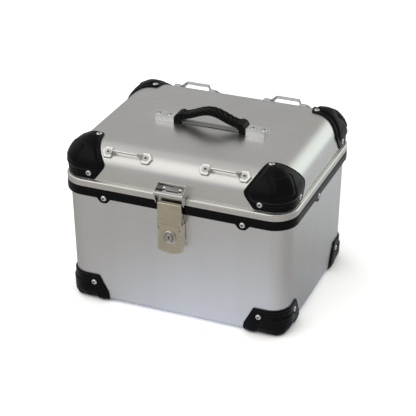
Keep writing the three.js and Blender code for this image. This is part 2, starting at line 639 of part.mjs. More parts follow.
// Carrying handle ----------------------------------------------------------------------------
const handleFloor = LID_TOP + LID_CROWN;   // the top panel's level near the handle
function archHeight(x) {
  const reach = HANDLE_X - COLLAR_W;
  const along = Math.abs(x);
  if (along <= reach) {
    const bow = 0.5 + 0.5 * Math.cos(Math.PI * along / reach);
    return handleFloor + GRIP_LOW + (GRIP_HIGH - GRIP_LOW) * bow;
  }
  const fall = THREE.MathUtils.smoothstep(along, reach, HANDLE_X);
  return handleFloor + GRIP_LOW + (STRIP_LOW - GRIP_LOW) * fall;
}

// A flat strip that follows the arch: `half` is its half width, `under` and `over` its faces.
function archStrip(xEnd, half, under, over, steps) {
  const upper = [];
  const lower = [];
  for (let k = 0; k <= steps; k += 1) {
    const x = -xEnd + 2 * xEnd * k / steps;
    upper.push(new THREE.Vector2(x, archHeight(x) + over));
    lower.push(new THREE.Vector2(x, archHeight(x) + under));
  }
  const shape = new THREE.Shape([...lower, ...upper.reverse()]);
  const geometry = new THREE.ExtrudeGeometry(shape, { depth: 2 * half, bevelEnabled: false });
  geometry.rotateX(Math.PI / 2);
  geometry.translate(HANDLE_CENTRE_X, HANDLE_Y + half, 0);
  return toManifold(geometry);
}

// Handle core: spring-steel strip through the grip, its ends held under the end brackets.
const CORE_HALF = 6;
const CORE_THICK = 1;               // half of the strip's thickness
const CORE_END = HANDLE_END_X - 6;
const CORE_STEPS = 44;
const core = archStrip(CORE_END, CORE_HALF, -CORE_THICK, CORE_THICK, CORE_STEPS);
const coreRoom = archStrip(CORE_END + GAP, CORE_HALF + GAP, -CORE_THICK - GAP,
  CORE_THICK + GAP, CORE_STEPS);

const GRIP_HALF = 11;
const GRIP_THICK = 5.2;
const gripEdge = (side, up) => {
  const round = 3;
  const strip = archStrip(HANDLE_X - COLLAR_W - 1, round, up * GRIP_THICK - round,
    up * GRIP_THICK + round, 24);
  return strip.translate([0, side * (GRIP_HALF + 0.8), up * 1.4]);
};
function handleGrip() {
  const bow = cut(archStrip(HANDLE_X - COLLAR_W + 1, GRIP_HALF, -GRIP_THICK, GRIP_THICK, 24),
    gripEdge(1, 1), gripEdge(-1, 1), gripEdge(1, -1), gripEdge(-1, -1));
  const collar = side => {
    const inner = HANDLE_CENTRE_X + side * (HANDLE_X - COLLAR_W);
    const outer = HANDLE_CENTRE_X + side * HANDLE_X;
    return box(Math.min(inner, outer), Math.max(inner, outer), HANDLE_Y - GRIP_HALF - 2,
      HANDLE_Y + GRIP_HALF + 2, handleFloor + 0.5, handleFloor + COLLAR_H);
  };
  return cut(union(bow, collar(-1), collar(1)), coreRoom);
}
add('handle_grip', handleGrip(), BLACK_RUBBER);

// End bracket: cast block with two lobes at its outer end, hollow under the strip.
const HANDLE_SCREWS = [HANDLE_X + 11, HANDLE_X + 31];
const HANDLE_END_H = 10;
function handleEnd(side) {
  const floor = handleFloor + 0.2;
  const from = HANDLE_CENTRE_X + side * (HANDLE_X + 0.4);
  const to = HANDLE_CENTRE_X + side * (HANDLE_END_X - 7);
  const block = box(Math.min(from, to), Math.max(from, to), HANDLE_Y - 12, HANDLE_Y + 12,
    floor, floor + HANDLE_END_H);
  const lobe = y => rod([to, HANDLE_Y + y, floor], [to, HANDLE_Y + y, floor + HANDLE_END_H - 2],
    6.6, 18);
  return cut(union(block, lobe(-6), lobe(6)), coreRoom);
}
const handleHoles = [];
for (const [tag, side] of [['l', -1], ['r', 1]]) {
  HANDLE_SCREWS.forEach((x, index) => {
    const seat = [HANDLE_CENTRE_X + side * x, HANDLE_Y, handleFloor + 0.2 + HANDLE_END_H];
    fasten(`handle_screw_${tag}${index + 1}`, seat, [0, 0, 1], HANDLE_END_H + 4, handleHoles);
  });
}
for (const [tag, side] of [['l', -1], ['r', 1]]) {
  add(`handle_end_${tag}`, cut(handleEnd(side), ...handleHoles, lidEnvelope), CAST_ALLOY);
}
add('handle_core', cut(core, ...handleHoles), ZINC_STEEL);
lidHoles.push(...handleHoles);

// Tie-down loops on the lid's folded front and rear edges ---------------------------------------
const TIE_SLOPE = 47;               // degrees up the folded edge
const TIE_FOOT = 11;
const TIE_BAR_TOP = 14.6;
const tieTilt = THREE.MathUtils.degToRad(TIE_SLOPE);
const tieInset = LID_INSET + LID_EDGE_R - LID_EDGE_R * Math.cos(tieTilt);
const tieZ = LID_TOP - LID_EDGE_R + LID_EDGE_R * Math.sin(tieTilt);

// Local frame: x along the case, y up the slope, z straight out of the sheet.
function tieDownLocal() {
  const foot = side => {
    const plate = rod([side * TIE_SCREW, 0, -2.4], [side * TIE_SCREW, 0, 2.8], TIE_FOOT, 6);
    const ramp = hull(
      box(side * TIE_SCREW - 4, side * TIE_SCREW + 4, -5.5, 5.5, 0.5, 2.8),
      box(side * 22 - 2.2, side * 22 + 2.2, -1.6, 1.6, 9.4, TIE_BAR_TOP));
    return union(plate, ramp);
  };
  const bar = box(-22, 22, -1.6, 1.6, 9, TIE_BAR_TOP);
  return union(foot(-1), foot(1), bar);
}
const TIE_SEAT = 2.9;               // the screw head's seat above the sheet
const tieHole = side => rod([side * TIE_SCREW, 0, -6], [side * TIE_SCREW, 0, 20], HOLE_R, 12);
const tieSeat = side => rod([side * TIE_SCREW, 0, TIE_SEAT], [side * TIE_SCREW, 0, 20], 6, 14);

function toLidEdge(solid, x, facing) {
  const spin = facing < 0 ? 0 : 180;
  return solid.rotate([90 - TIE_SLOPE, 0, 0])
    .translate([0, -(HALF_D - tieInset), tieZ])
    .rotate([0, 0, spin])
    .translate([x, 0, 0]);
}

const TIES = [['fl', -TIE_X, -1], ['fr', TIE_X, -1], ['rl', -TIE_X, 1], ['rr', TIE_X, 1]];
const tieLocal = cut(tieDownLocal(), tieSeat(-1), tieSeat(1), tieHole(-1), tieHole(1));
for (const [tag, x, facing] of TIES) {
  add(`tie_down_${tag}`, cut(toLidEdge(tieLocal, x, facing), lidEnvelope), CAST_ALLOY);
  const out = [0, facing * Math.cos(tieTilt), Math.sin(tieTilt)];
  [-1, 1].forEach((side, index) => {
    const foot = [x + side * TIE_SCREW, facing * (HALF_D - tieInset), tieZ];
    const seat = foot.map((v, i) => v + out[i] * TIE_SEAT);
    fasten(`tie_screw_${tag}${index + 1}`, seat, out, TIE_SEAT + 4, lidHoles);
  });
}

add('lid_shell', cut(sheetLid(), ...lidHoles), ALUMINIUM);

export default part;
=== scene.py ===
"""Looks of the aluminium motorcycle top case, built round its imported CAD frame.

Pieces are drawn in millimetres in the row frame: x to the right, -y the latch side, z up from the
feet. They become metres when their objects are made. "Corner coordinates" (a, b, z) count a and b
inward from the black band's two outer planes.
"""

import json
import math

import bmesh
import bpy
import numpy as np
from mathutils import Matrix, Vector


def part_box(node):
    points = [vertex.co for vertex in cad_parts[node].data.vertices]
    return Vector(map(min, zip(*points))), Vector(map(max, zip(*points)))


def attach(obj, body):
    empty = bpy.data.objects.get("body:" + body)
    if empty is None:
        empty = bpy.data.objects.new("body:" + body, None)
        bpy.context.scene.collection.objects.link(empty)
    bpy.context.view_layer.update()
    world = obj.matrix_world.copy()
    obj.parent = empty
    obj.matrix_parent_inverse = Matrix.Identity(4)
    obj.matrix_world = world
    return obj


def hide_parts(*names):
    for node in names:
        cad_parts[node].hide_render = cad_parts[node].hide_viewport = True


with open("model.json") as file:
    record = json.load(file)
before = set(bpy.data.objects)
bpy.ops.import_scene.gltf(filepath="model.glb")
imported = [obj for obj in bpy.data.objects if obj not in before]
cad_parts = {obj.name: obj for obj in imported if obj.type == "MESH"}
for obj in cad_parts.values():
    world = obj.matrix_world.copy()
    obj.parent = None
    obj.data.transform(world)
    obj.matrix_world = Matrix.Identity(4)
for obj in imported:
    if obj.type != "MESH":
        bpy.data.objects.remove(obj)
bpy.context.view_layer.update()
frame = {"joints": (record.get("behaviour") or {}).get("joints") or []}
scene = bpy.context.scene

MM = 0.001


def box_mm(node):
    low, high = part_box(node)
    return np.array(low) / MM, np.array(high) / MM


def middle_of(node):
    low, high = box_mm(node)
    return (low + high) / 2


# Dimensions ------------------------
(_, _, band_low), (HALF_W, HALF_D, TONGUE_TOP) = box_mm("base_band")
(_, _, FLOOR), (tub_half, _, TUB_TOP) = box_mm("base_shell")
(_, _, RIM_BOTTOM), (_, _, RIM_TOP) = box_mm("lid_rim")
_, (lid_half_w, _, LID_FLAT) = box_mm("lid_shell")

CORNER_R = 42.5                     # plan radius of the band's outer corner
SHEET = 1.6
TUB_FILLET = 8
TUB_INSET_TOP = HALF_W - tub_half
TUB_INSET_FLOOR = TUB_INSET_TOP + 4.9
LID_INSET = HALF_W - lid_half_w
LID_EDGE_R = 44                     # the lid's big folded edge
LID_CROWN = 1.5
LID_TOP = LID_FLAT - LID_CROWN      # where the crown starts
BAND_TOP = RIM_BOTTOM - 0.3
BAND_BOTTOM = band_low + 8          # the screw tabs hang lower
TAB_SCREW_Z = BAND_BOTTOM + 1
SIDES = (("l", -1), ("r", 1))
CORNERS = {"fl": (-1, -1), "fr": (1, -1), "rl": (-1, 1), "rr": (1, 1)}


# Shapes as (points, faces) in millimetres ------------------------
def joined(*shapes):
    points, faces, offset = [], [], 0
    for shape_points, shape_faces in shapes:
        points.append(np.asarray(shape_points, float))
        faces += [tuple(i + offset for i in face) for face in shape_faces]
        offset += len(shape_points)
    return np.vstack(points), faces


def moved(shape, matrix):
    place = np.array(matrix)
    return np.asarray(shape[0], float) @ place[:3, :3].T + place[:3, 3], shape[1]


def grid_faces(rows, columns, close_rows=False):
    """Quads over rows of points stored row by row. Each row is closed round on itself."""
    faces = []
    for i in range(rows if close_rows else rows - 1):
        for j in range(columns):
            here, above = i * columns, ((i + 1) % rows) * columns
            nxt = (j + 1) % columns
            faces.append((here + j, here + nxt, above + nxt, above + j))
    return faces


def capped_loops(loops):
    """A closed skin over stacked loops, its two ends filled."""
    count = len(loops[0])
    last = (len(loops) - 1) * count
    caps = [tuple(reversed(range(count))), tuple(range(last, last + count))]
    return np.vstack(loops), grid_faces(len(loops), count) + caps


def prism(outline, low, high, axis):
    """A flat outline pushed along x, y or z. The outline's pairs are (y, z), (x, z) or (x, y)."""
    at = "xyz".index(axis)
    return capped_loops([[(*pair[:at], w, *pair[at:]) for pair in outline] for w in (low, high)])


def block(x0, x1, y0, y1, z0, z1):
    return prism([(x0, y0), (x1, y0), (x1, y1), (x0, y1)], z0, z1, "z")


def arc(centre, radius, start, end, steps):
    """Points on a circle from `start` to `end`, in degrees."""
    turns = np.radians(np.linspace(start, end, steps + 1))
    return [(centre[0] + radius * math.cos(t), centre[1] + radius * math.sin(t)) for t in turns]


def circle(radius, steps, centre=(0.0, 0.0)):
    return arc(centre, radius, 0, 360, steps)[:-1]


def rounded_outline(corners, radius, steps=4):
    """A polygon with its corners rounded. `radius` is one number, or one for each corner."""
    outline = []
    for k, (here, reach) in enumerate(zip(corners, np.broadcast_to(radius, len(corners)))):
        here = np.array(here, float)
        before = np.array(corners[k - 1], float) - here
        after = np.array(corners[(k + 1) % len(corners)], float) - here
        reach = min(reach, 0.45 * np.linalg.norm(before), 0.45 * np.linalg.norm(after))
        start = here + before / np.linalg.norm(before) * reach
        end = here + after / np.linalg.norm(after) * reach
        for t in np.linspace(0, 1, steps + 1):
            outline.append(tuple((1 - t) ** 2 * start + 2 * t * (1 - t) * here + t * t * end))
    return outline


def hull(points):
    """The convex hull of points."""
    work = bmesh.new()
    for p in points:
        work.verts.new(p)
    bmesh.ops.convex_hull(work, input=work.verts)
    inside = [v for v in work.verts if not v.link_faces]
    bmesh.ops.delete(work, geom=inside, context="VERTS")
    work.verts.index_update()
    faces = [tuple(v.index for v in face.verts) for face in work.faces]
    shape = np.array([v.co for v in work.verts]), faces
    work.free()
    return shape


def aim(direction):
    """Rotation that turns +z to `direction`."""
    return Vector(direction).to_track_quat("Z", "Y").to_matrix().to_4x4()


def turned(profile, at=(0, 0, 0), direction=(0, 0, 1), steps=32, reach=None):
    """A turned solid. `profile` has (radius, height) pairs from the axis back to the axis, or a
    closed ring that never touches it. `reach(angle, row)` can scale a row's radius."""
    on_axis = profile[0][0] == 0
    rows = profile[1:-1] if on_axis else profile
    points = []
    for row, (radius, height) in enumerate(rows):
        for angle in np.linspace(0, 2 * math.pi, steps, endpoint=False):
            r = radius * (reach(angle, row) if reach else 1)
            points.append((r * math.cos(angle), r * math.sin(angle), height))
    faces = grid_faces(len(rows), steps, close_rows=not on_axis)
    if on_axis:
        points += [(0, 0, profile[0][1]), (0, 0, profile[-1][1])]
        first, last, base = len(points) - 2, len(points) - 1, (len(rows) - 1) * steps
        for k in range(steps):
            nxt = (k + 1) % steps
            faces += [(first, nxt, k), (last, base + k, base + nxt)]
    return moved((points, faces), Matrix.Translation(at) @ aim(direction))


def rod(start, end, radius, steps=32, edge=0.0):
    """A round bar between two points, its end edges chamfered by `edge`."""
    length = math.dist(start, end)
    profile = [(0, 0), (radius - edge, 0), (radius, edge), (radius, length - edge),
               (radius - edge, length), (0, length)]
    if not edge:
        profile = [profile[0], (radius, 0), (radius, length), profile[-1]]
    return turned(profile, start, np.subtract(end, start), steps)


def between(start, end, count):
    return [tuple(np.add(start, np.subtract(end, start) * k / count)) for k in range(1, count)]


def outline_loop(inset, height, steps=14, runs=(1, 1)):
    """The rounded rectangle that lies `inset` inside the band's outer outline. `runs` splits its
    straight sides."""
    radius = max(CORNER_R - inset, 0.8)
    cx, cy = HALF_W - inset - radius, HALF_D - inset - radius
    loop = []
    for quarter, (sx, sy) in enumerate([(1, 1), (-1, 1), (-1, -1), (1, -1)]):
        turns = (quarter + np.linspace(0, 1, steps + 1)) * math.pi / 2
        corner = [(sx * cx + radius * math.cos(t), sy * cy + radius * math.sin(t)) for t in turns]
        if loop:
            loop += between(loop[-1], corner[0], runs[(quarter + 1) % 2])
        loop += corner
    loop += between(loop[-1], loop[0], runs[1])
    return np.array([(x, y, height) for x, y in loop])


def ring_around(section):
    """A closed (inset, z) section swept round the case."""
    loops = [outline_loop(inset, height) for inset, height in section]
    return np.vstack(loops), grid_faces(len(loops), len(loops[0]), close_rows=True)


# Meshes and objects ------------------------
def bevel_edges(work, angle, width, segments=2, profile=0.6):
    """Rounds the edges of a bmesh that turn by more than `angle` degrees."""
    edges = [e for e in work.edges
             if len(e.link_faces) == 2 and e.calc_face_angle(0) > math.radians(angle)]
    bmesh.ops.bevel(work, geom=edges, offset=width * MM, segments=segments, profile=profile,
                    affect="EDGES", clamp_overlap=True)


def shaded(mesh, smooth, work=None):
    """Takes over `work`, if there is one, and shades smooth what turns less than `smooth` degrees."""
    if work:
        work.to_mesh(mesh)
        work.free()
    mesh.shade_smooth()
    mesh.set_sharp_from_angle(angle=math.radians(smooth))
    return mesh


def mesh_from(shape, name, bevel=0.0, smooth=35, segments=2):
    mesh = bpy.data.meshes.new(name)
    mesh.from_pydata((np.asarray(shape[0], float) * MM).tolist(), [], shape[1])
    work = bmesh.new()
    work.from_mesh(mesh)
    bmesh.ops.recalc_face_normals(work, faces=work.faces)
    if bevel:
        bevel_edges(work, 28, bevel, segments)
    return shaded(mesh, smooth, work)


def linked(name, data):
    """A new object in the scene."""
    thing = bpy.data.objects.new(name, data)
    scene.collection.objects.link(thing)
    return thing


def settle(thing, *tools):
    """The mesh of an object with its modifiers applied. The object and its tools are removed."""
    graph = bpy.context.evaluated_depsgraph_get()
    mesh = bpy.data.meshes.new_from_object(thing.evaluated_get(graph))
    for used in (thing, *tools):
        bpy.data.objects.remove(used)
    return mesh


def carve(thing, shape):
    """Cuts a shape out of an object that still has modifiers, and returns the finished mesh."""
    tool = linked("tool", mesh_from(shape, "tool"))
    cut = thing.modifiers.new("cut", "BOOLEAN")
    cut.operation, cut.object, cut.solver = "DIFFERENCE", tool, "EXACT"
    return settle(thing, tool)


def with_edges(mesh, bevel, extra):
    """Softens a mesh's sharp edges, then adds another shape to it."""
    work = bmesh.new()
    work.from_mesh(mesh)
    bevel_edges(work, 50, bevel)
    work.from_mesh(mesh_from(extra, "extra", bevel))
    return shaded(mesh, 35, work)


def piece(name, mesh, body, material, replaces=None, matrix=None, slot=None, weighted=True,
          **shading):
    """An object of the case. `mesh` is a mesh, or a shape that `shading` describes."""
    if isinstance(mesh, tuple):
        mesh = mesh_from(mesh, name, **shading)
    if not mesh.materials:
        mesh.materials.append(material)
    thing = linked(name, mesh)
    if matrix is not None:
        thing.matrix_world = matrix
    if weighted:
        thing.modifiers.new("even_shading", "WEIGHTED_NORMAL").keep_sharp = True
    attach(thing, body)
    if replaces:
        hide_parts(replaces)


def put_at(x, y, z):
    """Object matrix of a place in mm."""
    return Matrix.Translation(Vector((x, y, z)) * MM)


def stand(at, out):
    """Object matrix that puts a mesh drawn round +z at a point in mm, facing `out`."""
    return put_at(*at) @ aim(out)


# Materials ------------------------
class Graph:
    """A short way to write the nodes of a material or a world."""

    def __init__(self, owner):
        owner.use_nodes = True
        self.owner, self.tree = owner, owner.node_tree
        self.coords = self.add("ShaderNodeTexCoord")

    def add(self, kind, inputs=None, **settings):
        """Makes a node and returns its outputs. `inputs` go by name or number."""
        node = self.tree.nodes.new(kind)
        for key, value in settings.items():
            setattr(node, key, value)
        for key, value in (inputs or {}).items():
            self.put(node.inputs[key], value)
        return node.outputs

    def put(self, socket, value):
        if isinstance(value, bpy.types.NodeSocket):
            self.tree.links.new(value, socket)
        elif socket.type == "RGBA":
            socket.default_value = (*value, 1)
        else:
            socket.default_value = value

    def noise(self, scale, detail=3.0, stretch=(1, 1, 1)):
        """Noise of `scale` lumps a metre, squeezed by `stretch` along x, y and z."""
        place = self.add("ShaderNodeMapping", {0: self.coords["Object"], "Scale": stretch})[0]
        return self.add("ShaderNodeTexNoise", {"Vector": place, "Scale": scale, "Detail": detail,
                                               "Roughness": 0.55})["Fac"]

    def spread(self, value, low, high, start=0.3, end=0.7, **settings):
        """`value` between start and end becomes low to high."""
        return self.add("ShaderNodeMapRange", {0: value, 1: start, 2: end, 3: low, 4: high},
                        **settings)[0]

    def math(self, operation, a, b=0.0):
        return self.add("ShaderNodeMath", {0: a, 1: b}, operation=operation)[0]

    def total(self, first, *others):
        for other in others:
            first = self.math("ADD", first, other)
        return first

    def length(self, x, y):
        squares = self.total(self.math("POWER", x, 2.0), self.math("POWER", y, 2.0))
        return self.math("POWER", squares, 0.5)

    def split(self, vector):
        return self.add("ShaderNodeSeparateXYZ", {0: vector})

    def mix(self, factor, a, b, **settings):
        return self.add("ShaderNodeMix", {0: factor, 6: a, 7: b}, data_type="RGBA", **settings)[2]

    def bump(self, height, distance, strength, **normal):
        return self.add("ShaderNodeBump", {"Strength": strength, "Distance": distance,
                                           "Height": height, **normal})["Normal"]

    def facing(self, axis):
        """How squarely the surface faces along an axis, 0 to 1, in the piece's own frame."""
        return self.math("ABSOLUTE", self.split(self.coords["Normal"])[axis])

    def wear(self, low=0.52, high=0.6):
        """1 on sharp outer edges."""
        return self.spread(self.add("ShaderNodeNewGeometry")["Pointiness"], 0, 1, low, high)

    def is_camera_ray(self):
        return self.add("ShaderNodeLightPath")["Is Camera Ray"]

    def finish(self, slot, **inputs):
        """Sets the surface's inputs. Its `slot`, the record's slot that the material is for, is not
        used.
        """
        for key, value in inputs.items():
            surface = self.tree.nodes["Principled BSDF"]
            self.put(surface.inputs[key.replace("_", " ")], value)
        return self.owner


def material_graph(name):
    return Graph(bpy.data.materials.new(name))


def grey(value):
    return (value, value, value)


FINE = 900                          # brush lines a metre, across the grain


def brushed_sheet(name, slot, colour, dark, roughness, depth=0.000012):
    """Brushed aluminium. The grain runs along x, and along y on faces that look along x."""
    g = material_graph(name)
    along_x = g.noise(1, 4, (6, FINE, FINE))
    along_y = g.noise(1, 4, (FINE, 6, FINE))
    turn = g.spread(g.facing(0), 0, 1, 0.55, 0.8)
    grain = g.add("ShaderNodeMix", {0: turn, 2: along_x, 3: along_y}, data_type="FLOAT")[0]
    streaks = g.noise(1, 3, (26, 26, 1.5))
    clouds = g.noise(7, 2)
    tone = g.total(g.spread(grain, -0.3, 0.3), g.spread(streaks, -0.25, 0.25),
                   g.spread(clouds, 0.3, 0.7))
    finish = g.total(g.spread(grain, -0.05, 0.06),
                     g.spread(clouds, roughness - 0.02, roughness + 0.03))
    warp = g.bump(g.noise(9, 1), 0.0006, 0.12)
    return g.finish(slot, Base_Color=g.mix(tone, dark, colour), Metallic=1.0, Roughness=finish,
                    Anisotropic=0.35, Normal=g.bump(grain, depth, 0.5, Normal=warp))


def plain_metal(name, slot, colour, dark, roughness, edge, scale, depth=0.00002, grain=(1, 1, 1),
                painted_side_shade=None):
    """Cast, plated or rolled metal: fine surface noise, cloudy tone and brighter edges. Its last
    argument, if given, is the colour of what doesn't face along the piece's own z axis: painted shade
    on the sides, so that the top reads lighter."""
    g = material_graph(name)
    fine = g.noise(scale, 4, grain)
    clouds = g.noise(38, 3)
    tone = g.total(g.spread(fine, -0.2, 0.2), g.spread(clouds, 0.2, 0.8))
    base = g.mix(tone, dark, colour)
    # Painted shade: faces that don't look along the piece's z axis get the darker side colour.
    if painted_side_shade:
        base = g.mix(g.spread(g.facing(2), 0, 1, 0.2, 0.8), painted_side_shade, base)
    base = g.mix(g.wear(), base, edge)
    finish = g.total(g.spread(fine, -0.04, 0.05),
                     g.spread(clouds, roughness - 0.03, roughness + 0.04))
    return g.finish(slot, Base_Color=base, Metallic=1.0, Roughness=finish,
                    Normal=g.bump(fine, depth, 0.4))


def screw_steel(name, slot):
    """Bright plated steel, painted shade inside the socket, which lies on the piece's own z axis."""
    g = material_graph(name)
    x, y, _ = g.split(g.coords["Object"])
    fine, clouds = g.noise(700, 4), g.noise(60, 3)
    ring = g.mix(g.spread(clouds, 0, 1), (0.80, 0.80, 0.78), (0.92, 0.92, 0.90))
    # Painted shade: near black inside the socket's radius.
    base = g.mix(g.spread(g.length(x, y), 0, 1, 0.0016, 0.0021), grey(0.035), ring)
    return g.finish(slot, Base_Color=base, Metallic=1.0, Roughness=g.spread(clouds, 0.24, 0.34),
                    Normal=g.bump(fine, 0.00001, 0.4))


def moulded_black(name, slot, colour, worn, roughness, scale, depth, specular):
    """Moulded plastic or rubber with a fine grain and slightly polished, greyer edges."""
    g = material_graph(name)
    grain = g.noise(scale, 3)
    clouds = g.noise(30, 3)
    scuffs = g.noise(1, 3, (90, 160, 700))
    base = g.mix(g.spread(clouds, 0, 1), colour, tuple(c * 1.6 for c in colour))
    base = g.mix(g.math("MULTIPLY", g.wear(0.53, 0.62), g.spread(scuffs, 0.2, 1)), base, worn)
    finish = g.total(g.spread(grain, -0.06, 0.06),
                     g.spread(clouds, roughness - 0.05, roughness + 0.05))
    return g.finish(slot, Base_Color=base, Metallic=0.0, Roughness=finish,
                    Specular_IOR_Level=specular, Normal=g.bump(grain, depth, 0.6))


ALUMINIUM = brushed_sheet("brushed_aluminium", "brushed_sheet", (0.86, 0.855, 0.84),
                          (0.80, 0.795, 0.78), 0.31)
TUB_SHEET = brushed_sheet("brushed_tub", "brushed_sheet", (0.86, 0.86, 0.865),
                          (0.80, 0.80, 0.805), 0.34)
RIM_METAL = brushed_sheet("brushed_rim", "rim_aluminium", (0.86, 0.85, 0.82),
                          (0.74, 0.73, 0.70), 0.25, 0.00002)
BLACK_PLASTIC = moulded_black("black_plastic_grain", "black_plastic", (0.0016, 0.0016, 0.002),
                              (0.009, 0.009, 0.010), 0.25, 1500, 0.00002, 0.14)
GRIP_RUBBER = moulded_black("grip_rubber_grain", "grip_rubber", (0.0018, 0.0018, 0.002),
                            grey(0.03), 0.33, 1800, 0.00002, 0.12)
SEAL_RUBBER = moulded_black("seal_rubber_matt", "seal_rubber", grey(0.009), grey(0.02), 0.75, 900,
                            0.00005, 0.2)
# The darker side colours of the bracket and tie-down metals are painted shade; their tops read
# lighter.
CAST_ALLOY = plain_metal("cast_alloy_bright", "cast_alloy", grey(0.95), grey(0.86), 0.4,
                         grey(1.0), 420, painted_side_shade=(0.74, 0.75, 0.77))
TIE_METAL = plain_metal("tie_down_polished", "cast_alloy", (0.92, 0.92, 0.90), (0.80, 0.80, 0.79),
                        0.2, (0.96, 0.96, 0.95), 420, 0.00001, painted_side_shade=(0.42, 0.43, 0.45))
# Dull steel kept dark as painted shade: the strip shows only under the grip.
STRIP_STEEL_SHADED = plain_metal("strip_steel_dull_shaded", "zinc_steel", grey(0.34), grey(0.24), 0.45,
                          grey(0.5), 300)
STAINLESS = plain_metal("latch_stainless_brushed", "latch_stainless", (0.72, 0.66, 0.52),
                        (0.60, 0.55, 0.43), 0.24, (0.8, 0.74, 0.62), 700, 0.00001, (0.06, 0.06, 3))
CHROME = plain_metal("chrome_plate", "bright_chrome", (0.66, 0.65, 0.64), (0.50, 0.49, 0.48), 0.08,
                     grey(0.9), 160, 0.00001)
LOCK_METAL = plain_metal("lock_nickel", "lock_metal", (0.66, 0.62, 0.54), (0.46, 0.43, 0.37), 0.2,
                         (0.75, 0.72, 0.64), 500)
ZINC = plain_metal("zinc_steel_bright", "zinc_steel", grey(0.70), grey(0.54), 0.28,
                   (0.9, 0.9, 0.89), 420)
SCREW_STEEL = screw_steel("screw_steel_socket_shade", "zinc_steel")


# Sheet tub and lid ------------------------
def tub_inset(height):
    """Inset of the tub's outer wall at a height above the tub's floor."""
    depth = TUB_TOP - FLOOR
    return TUB_INSET_TOP + (TUB_INSET_FLOOR - TUB_INSET_TOP) * (depth - height) / depth


def tub_loops(offset):
    """Loops of the tub's skin moved inward by `offset`, from the floor up."""
    radius = TUB_FILLET - offset
    wall = tub_inset(TUB_FILLET) + offset
    fillet = arc((wall + radius, FLOOR + offset + radius), radius, 270, 180, 8)
    mouth = (tub_inset(TUB_TOP - FLOOR) + offset, TUB_TOP)
    return [outline_loop(inset, z) for inset, z in fillet + [mouth]]


def lid_loops(offset):
    """Loops of the lid's skin from its mouth to the middle of its crowned top panel."""
    fold = arc((LID_INSET + LID_EDGE_R, LID_TOP - LID_EDGE_R), LID_EDGE_R - offset, 180, 90, 24)
    profile = [(LID_INSET + offset, RIM_BOTTOM + SHEET)] + fold
    loops = [outline_loop(inset, z, 10, (18, 14)) for inset, z in profile]
    edge = loops[-1]
    reach = np.abs(edge).max(axis=0)
    for share in (0.94, 0.85, 0.72, 0.56, 0.38, 0.2, 0.04):
        loop = edge * [share, share, 1]
        bow = 1 - np.clip(np.abs(loop[:, :2]) / reach[:2], 0, 1) ** 4
        loop[:, 2] += LID_CROWN * (bow[:, 0] * bow[:, 1]) ** 2
        loops.append(loop)
    return loops


def build_sheets():
    tub = capped_loops(tub_loops(0) + tub_loops(SHEET)[::-1])
    lid = capped_loops(lid_loops(0)[::-1] + lid_loops(SHEET))
    piece("tub_sheet", tub, "base", TUB_SHEET, "base_shell")
    piece("lid_sheet", lid, "lid", ALUMINIUM, "lid_shell")


# Band, rim and seal ------------------------
def band_section():
    wall, lip = TUB_INSET_TOP - 0.1, TUB_TOP + 0.1
    low, high, tongue = BAND_BOTTOM, BAND_TOP, TONGUE_TOP
    outer = arc((1.6, low + 1.2), 1.2, 270, 180, 4)
    outer += [(0.4, low + 4.2), (0.05, low + 4.6), (0.05, high - 4.6), (0.4, high - 4.2)]
    outer += arc((1.6, high - 1.2), 1.2, 180, 90, 4)
    return [(wall, low)] + outer + [(9, high), (9, tongue - 0.4), (9.4, tongue), (10.2, tongue),
                                    (10.6, tongue - 0.4), (10.6, high), (13, high), (13, lip),
                                    (wall, lip)]


def rim_section():
    wall, low, high = LID_INSET - 0.1, RIM_BOTTOM, RIM_BOTTOM + SHEET - 0.1
    bead = arc((3.5, RIM_TOP - 3.5), 3.5, 205, 60, 10)
    return [(8, low), (1.4, low), (0.8, low + 0.2), (0.5, low + 0.8), (0.45, RIM_TOP - 5.4), *bead,
            (wall, RIM_TOP - 1.2), (wall, high), (8, high)]


def seal_section():
    inner, outer = LID_INSET + SHEET + 0.1, LID_INSET + SHEET + 4.3
    middle = (inner + outer) / 2
    (_, _, low), (_, _, high) = box_mm("lid_seal")
    return [(inner, low + 1), (inner, high), (outer, high), (outer, low + 1), (outer - 0.7, low),
            (middle + 0.6, low + 0.1), (middle, low + 0.9), (middle - 0.6, low + 0.1),
            (inner + 0.7, low)]


SCREW_TABS = {"fl": (0, -1), "fr": (0, -1), "rl": (0, 1), "rr": (0, 1), "l": (-1, 0), "r": (1, 0)}


def band_screw_place(tag):
    """Where a tab's screw meets the band's outer plane, and the way it faces."""
    out = np.array([*SCREW_TABS[tag], 0], float)
    at = np.where(out != 0, out * [HALF_W, HALF_D, 0], middle_of("band_screw_" + tag))
    return np.array([at[0], at[1], TAB_SCREW_Z]), out


def band_tab(tag):
    """A half-hexagon tab that hangs from the band and carries a screw."""
    half, low, high = 11.5, BAND_BOTTOM - 8, BAND_BOTTOM
    outline = rounded_outline([(-half - 3, high + 3), (-half, high - 1), (-half + 6, low),
                               (half - 6, low), (half, high - 1), (half + 3, high + 3)],
                              [0.1, 3, 4, 4, 3, 0.1])
    seat, out = band_screw_place(tag)
    turn = Matrix.Rotation(math.atan2(out[0], -out[1]), 4, "Z")
    return moved(prism(outline, 0.5, TUB_INSET_TOP + 0.1, "y"),
                 Matrix.Translation((seat[0], seat[1], 0)) @ turn)


def build_band_and_rim():
    tabs = joined(*[band_tab(tag) for tag in SCREW_TABS])
    piece("edge_band", ring_around(band_section()), "base", BLACK_PLASTIC, "base_band")
    piece("band_tabs", tabs, "base", BLACK_PLASTIC, bevel=0.7)
    piece("lid_bead", ring_around(rim_section()), "lid", RIM_METAL, "lid_rim", smooth=30)
    piece("mouth_seal", ring_around(seal_section()), "lid", SEAL_RUBBER, "lid_seal")


# Screws and rivets ------------------------
SOCKET = 1.75                       # half of the hexagon socket's width over its flats
SCREW_R = 5


def hex_reach(angle):
    """How far a hexagon's edge is from its centre, over its half width."""
    return 1 / math.cos((angle + math.pi / 6) % (math.pi / 3) - math.pi / 6)


